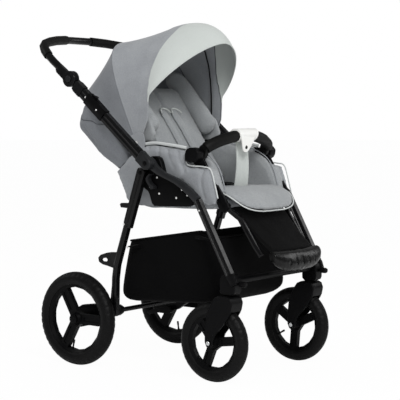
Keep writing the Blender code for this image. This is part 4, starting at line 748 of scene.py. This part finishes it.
FOOT_PATCH = ((0.03, 0.703), (0.026, 0.73), (0.033, 0.756), (0.056, 0.762), (0.085, 0.75),
              (0.095, 0.725), (0.08, 0.703))


def across_joint(piece):
    """The piece with its place baked into its points; it rides on no body."""
    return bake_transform(piece)


def bends(piece):
    """Bakes a piece of the back in place; it rides on no body."""
    return across_joint(piece)


def face_y(z, lift=0.0):
    """How far back the cushion's face lies at a height."""
    return float(np.interp(z, [q[1] for q in BACK_FACE], [q[0] for q in BACK_FACE])) - lift


def back_cushion():
    """The cushion of the back, with the channel down its middle."""
    slab = prism([(CUSHION, -BACK_HALF, BACK_HALF)])
    made = puffed("backrest_pad", PAD_CLOTH, 0.006, 4.0, 0.003, 0.001, slab, "back_cushion", soft=5)
    groove(made, [(0, face_y(z), z) for z in np.linspace(0.62, 0.90, 30)], 0.006, 0.011)
    crumple(made, 0.0026, 12.0, 0.0006, 50.0, 41.0)
    bends(made)


def side_walls(s, hand):
    """The padded wall inside the seat, the gathered cloth outside it, and their pipings."""
    slabs = prism([(WALL, s * 0.157, s * 0.1885), (INNER_WALL, s * 0.14, s * 0.1575)])
    inner = puffed(None, PAD_CLOTH, 0.005, 3.0, 0.003, 0.001, slabs, f"seat_wall_{hand}", soft=3)
    crumple(inner, 0.0014, 14.0, 0.0004, 50.0, 21.0)
    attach(inner, "seat_unit")
    slab = prism([(OUTER_WALL, s * 0.1915, s * 0.205)])
    outer = puffed(f"side_panel_{hand}", MELANGE, 0.005, 4.0, 0.007, 0.001, slab,
                   f"seat_side_cover_{hand}", soft=3)
    crumple(outer, 0.0022, 15.0, 0.0005, 55.0, 11.0)
    for line in GATHERS:
        groove(outer, side_line(s * 0.206, line, 14), 0.006, 0.0048)
    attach(outer, "seat_unit")
    top = side_line(s * 0.1985, TOP_EDGE, 30)
    tube(f"seat_side_piping_{hand}", [top], 0.0034, TAPE, "seat_unit", squash=1.5)
    front = side_line(s * 0.206, FRONT_EDGE, 40)
    tube(f"seat_front_piping_{hand}", [front], 0.0022, TAPE, "seat_unit", 10)
    inside = side_line(s * 0.148, WALL_EDGE, 40)
    tube(f"seat_wall_piping_{hand}", [inside], 0.0018, MELANGE, "seat_unit", 10)


def bolster(s, hand):
    """The bolster beside the back, from the arm up to the head, and the side cloth that it hangs from."""
    spine = smooth_path([(s * x, y, z) for x, y, z in BOLSTER_SPINE], 26)
    across = Vector((s, 0, 0))
    rings = []
    for i, here in enumerate(spine):
        t = i / (len(spine) - 1)
        run = (spine[min(i + 1, len(spine) - 1)] - spine[max(i - 1, 0)]).normalized()
        up = across.cross(run).normalized()
        foot = sqrt(max(0.02, 1 - (1 - min(1.0, t * 5)) ** 2))
        head = sqrt(max(0.05, 1 - max(0.0, t - 0.75) ** 2 * 14))
        wide, deep = BOLSTER_WIDE * (foot * head), BOLSTER_DEEP * (foot * head)
        turns = [2 * pi * k / 28 for k in range(28)]
        rings.append([here + across * (wide * cos(a)) + up * (deep * sin(a)) for a in turns])
    mesh = plain_mesh("bolster", *skin([rings]))
    wing = puffed(None, PAD_CLOTH, 0.005, 3.0, 0.005, 0.001, mesh, f"back_bolster_{hand}")
    crumple(wing, 0.004, 14.0, 0.0008, 45.0, 31.0)
    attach(wing, "backrest")
    slab = prism([(GUSSET, s * 0.166, s * 0.184)])
    side = puffed(None, PAD_CLOTH, 0.005, 0.0, 0.003, 0.001, slab, f"back_side_cloth_{hand}", soft=3)
    across_joint(side)


def harness_pad(s, hand):
    """The harness pad on the back, with its pale loop at the top."""
    middle = s * HARNESS_X
    rings = []
    for z in np.linspace(HARNESS_FOOT, HARNESS_TOP, 20):
        t = (z - HARNESS_FOOT) / 0.189
        half = HARNESS_HALF * min(1.0, (1.02 - t) * 9) ** 0.5
        y = face_y(z, 0.0095)
        rings.append([(middle + half * cos(a) * (1 - 0.12 * abs(sin(a))),
                       y + 0.009 * sin(a), z + 0.006 * sin(a)) for a in np.linspace(0, 2 * pi, 21)[:-1]])
    mesh = plain_mesh("harness_pad", *skin([rings]))
    made = puffed(f"shoulder_pad_{hand}", PAD_CLOTH, 0.004, 3.0, 0.004, 0.001, mesh,
                  f"harness_pad_{hand}", soft=3)
    crumple(made, 0.0014, 22.0, 0.0004, 60.0, 91.0)
    bends(made)
    loop = []
    for a in np.linspace(0.1, pi - 0.1, 24):
        z = 0.82 + 0.016 * sin(a)
        loop.append((middle + HARNESS_HALF * cos(a), face_y(z, 0.021 - 0.004 * sin(a)), z))
    tube(f"harness_pad_trim_{hand}", [loop], 0.0022, PALE, "backrest", 10)


def foot_patch(s, hand):
    """The patch of cloth over the hood's foot."""
    slab = prism([(FOOT_PATCH, s * 0.2006, s * 0.2042)])
    made = puffed(None, MELANGE, 0.003, 0.0, 0.002, 0.0, slab, f"hood_foot_patch_{hand}", soft=2)
    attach(made, "seat_unit")


back_cushion()
for s, hand in BOTH:
    side_walls(s, hand)
    bolster(s, hand)
    harness_pad(s, hand)
    foot_patch(s, hand)
base = puffed("seat_base", MELANGE, 0.006, 3.0, 0.004, 0.002)
crumple(base, 0.0012, 12.0, 0.0004, 45.0, 51.0)
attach(base, "seat_unit")
seat_pad = puffed("seat_pad", PAD_CLOTH, 0.005, 4.0, 0.007, 0.001)
for x in (-0.07, 0.07):
    groove(seat_pad, [(x, y, 0.583) for y in np.linspace(-0.215, 0.02, 24)], 0.005, 0.005)
crumple(seat_pad, 0.0014, 14.0, 0.0004, 50.0, 61.0)
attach(seat_pad, "seat_unit")


# The front flap: a tongue that droops from the seat's front edge over the footrest

FLAP_LINE = ((-0.21, 0.58), (-0.23, 0.5815), (-0.255, 0.576), (-0.275, 0.567), (-0.293, 0.5545),
             (-0.308, 0.54), (-0.319, 0.529), (-0.325, 0.5225), (-0.3275, 0.5195))
FLAP_HALF = (0.15, 0.16, 0.166, 0.165, 0.158, 0.143, 0.119, 0.087, 0.052)
FLAP_CREASES = (((-0.12, -0.235, 0.586), (-0.09, -0.28, 0.566), (-0.03, -0.318, 0.534)),
                ((0.02, -0.24, 0.586), (0.07, -0.27, 0.572), (0.13, -0.29, 0.56)))


def droops(piece):
    """Bakes a piece of the flap in place; it rides on no body."""
    return across_joint(piece)


widths = smooth_path([(half, y, 0) for half, (y, z) in zip(FLAP_HALF, FLAP_LINE)], 25)
line = np.array([(p.y, p.z, np.interp(-p.y, [-q.y for q in widths], [q.x for q in widths]))
                 for p in side_line(0, FLAP_LINE, 25)])
flap, edge = [], []
for i, (y, z, half) in enumerate(line):
    ahead = line[min(i + 1, 24)] - line[max(i - 1, 0)]
    run = Vector((0, ahead[0], ahead[1])).normalized()
    up = Vector((0, -run.z, run.y)) if run.y > 0 else Vector((0, run.z, -run.y))
    ring = []
    for k in range(40):
        a = 2 * pi * k / 40
        beside = half * copysign(abs(cos(a)) ** 0.35, cos(a))
        rise = 0.0075 * copysign(abs(sin(a)) ** 0.7, sin(a)) - 0.004 + 0.003 * (1 - (cos(a)) ** 2)
        ring.append(Vector((beside, y, z)) + up * rise)
    flap.append(ring)
    edge.append((half, y, z - 0.004))
mesh = plain_mesh("flap", *skin([flap]))
apron = puffed("apron", PAD_CLOTH, 0.005, 3.0, 0.004, 0.001, mesh, "seat_front_flap", soft=3)
crumple(apron, 0.002, 13.0, 0.0004, 50.0, 71.0)
for line in FLAP_CREASES:
    groove(apron, smooth_path(line, 20), 0.006, 0.0022)
droops(apron)
outline = [(-x, y, z) for x, y, z in edge[5:]] + [(x, y, z) for x, y, z in reversed(edge[5:])]
droops(finish_mesh("seat_front_flap_piping", *skin([swept(smooth_path(outline, 90), 0.0022, 10)]), TAPE))


# Bumper: leatherette wrap with its pointed tab and snap, and the crotch strap under it

WRAP = (-0.054, 0.041)
WRAP_RADIUS = 0.0212
BAR_MIDDLE = (-0.2179, 0.7505)
BAR_BEND = 0.8
# Rings of the tab from the bar to its point, seen from the front: left, right, front, back and height
TAB = ((-0.05, 0.024, -0.0008, 0.0022, 0.01), (-0.048, 0.02, -0.0015, 0.0015, -0.006),
       (-0.036, -0.002, 0.003, 0.006, -0.036), (-0.026, -0.012, 0.004, 0.0065, -0.043))
SNAP = ((-0.001, 0.0058), (0.001, 0.0058), (0.002, 0.004), (0.0012, 0.002), (0.0008, 0.0006))
wraps = []
for x in np.linspace(*WRAP, 12):
    mid_y, mid_z = BAR_MIDDLE[0] + BAR_BEND * x * x, BAR_MIDDLE[1]
    r = WRAP_RADIUS + 0.0008 * noise.noise(Vector((x * 90, 0, 0)))
    wraps.append([(x + 0.01 * sin(a) * (x > 0) - 0.003 * cos(a), mid_y + r * cos(a), mid_z + r * sin(a))
                  for a in np.linspace(0, 2 * pi, 33)[:-1]])
front_y, low_z = mid_y - 0.0205, mid_z - 0.01
tab = [[(x, front_y + y, low_z + z) for x, y in ((left, front), (right, front), (right, back), (left, back))]
       for left, right, front, back, z in TAB]
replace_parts(skinned("bumper_wrap", [wraps, tab], WHITE, "bumper", 40), "bumper_strap")
snap = turned(SNAP, (-0.019, front_y + 0.002, low_z - 0.028), (0, -1, 0), 20)
skinned("bumper_snap", [snap], BLACK, "bumper", 35)
web = []
across = [2 * j / 12 - 1 for j in range(13)]
for t in np.linspace(0, 1, 14):
    half, y, z = 0.03 + 0.006 * t, -0.20 - 0.006 * sin(pi * t), 0.736 - 0.148 * t
    web.append([(half * u, y + 0.0025 * cos(pi * u), z) for u in across]
               + [(half * -u, y + 0.003 + 0.0025 * cos(pi * u), z) for u in across])
skinned("crotch_strap", [web], PALE, "bumper")


# Footrest: black cloth from the flap down to the tray, and the quilted tray

sheet = []
across = [2 * j / 10 - 1 for j in range(11)]
for k in range(13):
    t = k / 12
    y = -0.26 - 0.145 * t
    z = 0.533 - 0.14 * t - 0.01 * sin(pi * t)
    half = 0.148 - 0.022 * min(1.0, t * 2.2)
    sheet.append([(half * u, y - 0.006 * (1 - u ** 2), z) for u in across]
                 + [(half * -u, y + 0.007 - 0.006 * (1 - u ** 2), z - 0.003) for u in across])
mesh = plain_mesh("sheet", *skin([sheet]))
panel_cover = puffed("footrest_panel", BLACK_CLOTH, 0.004, 2.0, 0.003, 0.0, mesh, "footrest_cloth", soft=2)
crumple(panel_cover, 0.0018, 16.0, 0.0004, 50.0, 81.0)
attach(panel_cover, "footrest")
tray = puffed("foot_tray", VINYL, 0.004, 5.0, 0.006, 0.001)
for k in range(7):
    x = -0.105 + 0.035 * k
    line = [(x, -0.408 + 0.03 * sin(a) - 0.004, 0.372 + 0.036 * cos(a))
            for a in np.linspace(-1.9, 2.3, 24)]
    groove(tray, line, 0.0045, 0.004)
crumple(tray, 0.0012, 26.0, 0.0004, 70.0, 2.0)
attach(tray, "footrest")


# Basket: hung cloth with a turned hem, and straps to the legs

# Levels from the lip down to the floor: rear, front, height at the rear and at the front, half width
BASKET_LEVELS = ((0.112, -0.214, 0.409, 0.46, 0.195), (0.123, -0.224, 0.366, 0.415, 0.195),
                 (0.132, -0.232, 0.33, 0.375, 0.195), (0.142, -0.246, 0.292, 0.33, 0.1935),
                 (0.15, -0.256, 0.258, 0.29, 0.19), (0.153, -0.258, 0.24, 0.27, 0.1875),
                 (0.15, -0.254, 0.226, 0.254, 0.184), (0.138, -0.23, 0.214, 0.236, 0.176),
                 (0.112, -0.196, 0.209, 0.221, 0.162))
BASKET_CORNER = 0.034
BASKET_THICK = 0.003
# Where a strap leaves the basket, its height, and where it meets the leg
STRAPS = ((-0.17, 0.442, -0.25), (0.06, 0.402, 0.065))
STRAP_HALF = 0.01


def basket_ring(rear_y, front_y, rear_z, front_z, half, inset):
    """One level of the basket seen from above, its front lip lower than its sides."""
    half -= inset
    rear_y -= inset
    front_y += inset
    radius = BASKET_CORNER
    corners = []
    for x, y, first in ((half - radius, front_y + radius, -90), (half - radius, rear_y - radius, 0),
                        (-half + radius, rear_y - radius, 90), (-half + radius, front_y + radius, 180)):
        corners += [polar((x, y), radius, first + 15 * k) for k in range(7)]
    found = []
    for p in even([Vector((x, y, 0)) for x, y in corners + corners[:1]], 121)[:-1]:
        t = (p.y - rear_y) / (front_y - rear_y)
        dip = 0.026 * min(1.0, (half - abs(p.x)) / 0.034) if p.y < 0 and front_z > 0.4 else 0
        found.append(Vector((p.x, p.y, rear_z + (front_z - rear_z) * t - dip)))
    return found


wavy, inner = [], []
for i, level in enumerate(BASKET_LEVELS):
    hang = sin(pi * min(1.0, i / 6))
    out_row, in_row = [], []
    for j, (p, q) in enumerate(zip(basket_ring(*level, 0.0), basket_ring(*level, BASKET_THICK))):
        wave = 0.0035 * hang * noise.noise(Vector((j * 0.16, i * 0.25, 3.0)))
        moved = p + Vector((p.x, p.y, 0)).normalized() * wave
        out_row.append(moved)
        in_row.append(q + (moved - p))
    wavy.append(out_row)
    inner.append(in_row)
basket = finish_mesh("basket_cloth", *skin([list(reversed(wavy)) + inner]), BLACK_CLOTH, 60)
smoother = basket.modifiers.new("fine", "SUBSURF")
smoother.levels = 1
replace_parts(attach(baked(basket), "chassis"), "basket")
tube("basket_hem", [wavy[0] + wavy[0][:1]], 0.0032, BLACK_CLOTH, "chassis", 10)
straps = []
for s, hand in BOTH:
    for y, z, far in STRAPS:
        strap = []
        for x, mid, low, rear, front in ((s * 0.1925, y, -0.013, -0.001, 0.001),
                                         (s * (LEG_X - 0.0123), far, -0.0075, -0.0045, -0.0045)):
            strap.append([(x, mid + STRAP_HALF, z + low), (x, mid + STRAP_HALF, z + rear),
                          (x, mid - STRAP_HALF, z + front), (x, mid - STRAP_HALF, z + low)])
        straps.append(strap)
skinned("basket_straps", straps, BLACK_CLOTH, "chassis", 30)


# Rivets on the side plates, legs, handle and the hood's feet

RIVET_HEAD = ((-0.0005, 1.0), (0.0006, 1.0), (0.0014, 0.75), (0.0018, 0.3))
PLATE_RIVETS = ((-0.048, 0.6197), (-0.02, 0.5901), (-0.0566, 0.5694), (-0.146, 0.5848), (-0.1239, 0.5584),
                (-0.1665, 0.5683))
LEG_RIVET = (-0.2271, 0.5244)
REAR_LEG_RIVETS = ((0.0596, 0.4693), (0.0435, 0.3972))
# Distance along the handle from its pivot, and from the middle
HANDLE_RIVETS = ((0.256, 0.2861), (0.318, 0.2835))
HOOD_FOOT_RIVET = (0.2042, 0.0634, 0.7252, 0.006)
for s, hand in BOTH:
    plate = [(PLATE_OUTER, y, z, 0.0034) for y, z in PLATE_RIVETS]
    leg = (LEG_OUTER - 0.0012, *LEG_RIVET, 0.003)
    rear = [(LEG_OUTER - 0.0003, y + 0.01, z, 0.0034) for y, z in REAR_LEG_RIVETS]
    handle = [(x, *polar(HANDLE_PIVOT, run, HANDLE_LEAN), 0.0032) for run, x in HANDLE_RIVETS]
    for body, spots in (("chassis", plate + [leg]), ("rear_frame", rear), ("handle_frame", handle),
                        ("seat_unit", [HOOD_FOOT_RIVET])):
        made = [turned([(a, r * share) for a, share in RIVET_HEAD], (s * x, y, z), (s, 0, 0), 16)
                for x, y, z, r in spots]
        skinned(f"{body}_rivets_{hand}", made, RIVET, body, 35)


# Floor, light and camera: a floor that the camera sees as white, with a faint shade under the wheels

floor_look, tree = blank("pale_floor")
path = add(tree, "ShaderNodeLightPath")
seen = add(tree, "ShaderNodeMath", {"operation": "MAXIMUM"},
           _0=path.outputs["Is Camera Ray"], _1=path.outputs["Is Transmission Ray"])
lit = add(tree, "ShaderNodeBsdfDiffuse", Color=lin("f1f1f1"))
white = add(tree, "ShaderNodeEmission", Color=lin("ffffff"), Strength=1.0)
share = add(tree, "ShaderNodeMath", {"operation": "MULTIPLY"}, _0=seen.outputs[0], _1=0.97)
whole = add(tree, "ShaderNodeMixShader", Fac=share.outputs[0], _1=lit.outputs[0], _2=white.outputs[0])
add(tree, "ShaderNodeOutputMaterial", Surface=whole.outputs[0])
bpy.ops.mesh.primitive_circle_add(vertices=96, radius=40, fill_type="NGON", location=(0, 0, 0))
floor = bpy.context.object
floor.name = "floor"
floor.data.materials.append(floor_look)

# The world is a soft light on matt surfaces, fainter in gloss, and white to the camera
world = bpy.data.worlds.new("studio")
bpy.context.scene.world = world
world.use_nodes = True
tree = world.node_tree
tree.nodes.clear()
path = add(tree, "ShaderNodeLightPath")
seen = add(tree, "ShaderNodeMath", {"operation": "MAXIMUM"},
           _0=path.outputs["Is Camera Ray"], _1=path.outputs["Is Transmission Ray"])
soft = add(tree, "ShaderNodeBackground", Color=lin("ffffff"), Strength=0.62)
dim = add(tree, "ShaderNodeBackground", Color=lin("ffffff"), Strength=0.22)
white = add(tree, "ShaderNodeBackground", Color=lin("ffffff"), Strength=1.0)
whole = add(tree, "ShaderNodeMixShader",
            Fac=path.outputs["Is Glossy Ray"], _1=soft.outputs[0], _2=dim.outputs[0])
whole = add(tree, "ShaderNodeMixShader", Fac=seen.outputs[0], _1=whole.outputs[0], _2=white.outputs[0])
add(tree, "ShaderNodeOutputWorld", Surface=whole.outputs[0])


def lamp(name, place, aim, size, power):
    """A square lamp at a place, turned to its aim, of a size in metres and a power in watts."""
    data = bpy.data.lights.new(name, "AREA")
    data.size = size
    data.energy = power
    made = placed(name, data)
    made.location = place
    made.rotation_euler = (Vector(aim) - Vector(place)).to_track_quat("-Z", "Y").to_euler()


lamp("key", (-2.2, -2.8, 3.0), (0, 0, 0.6), 1.6, 95)
lamp("fill", (3.4, -2.2, 2.2), (0, 0, 0.5), 1.6, 24)
lamp("rim", (-1.2, 3.4, 2.8), (0, 0, 0.7), 1.4, 16)

# The photo's camera, fitted to the edges of its four tyres
CAMERA_PLACE = (-3.5789, -2.6948 + SHIFT, 0.8156)
CAMERA_AIM = Vector((0, -0.0384 + SHIFT, 0.5371))
camera = placed("camera", bpy.data.cameras.new("camera"))
camera.data.lens = 123.04
camera.data.sensor_width = 36
camera.location = CAMERA_PLACE
camera.rotation_euler = (CAMERA_AIM - camera.location).to_track_quat("-Z", "Y").to_euler()
bpy.context.scene.camera = camera
bpy.context.scene.view_settings.view_transform = "Standard"
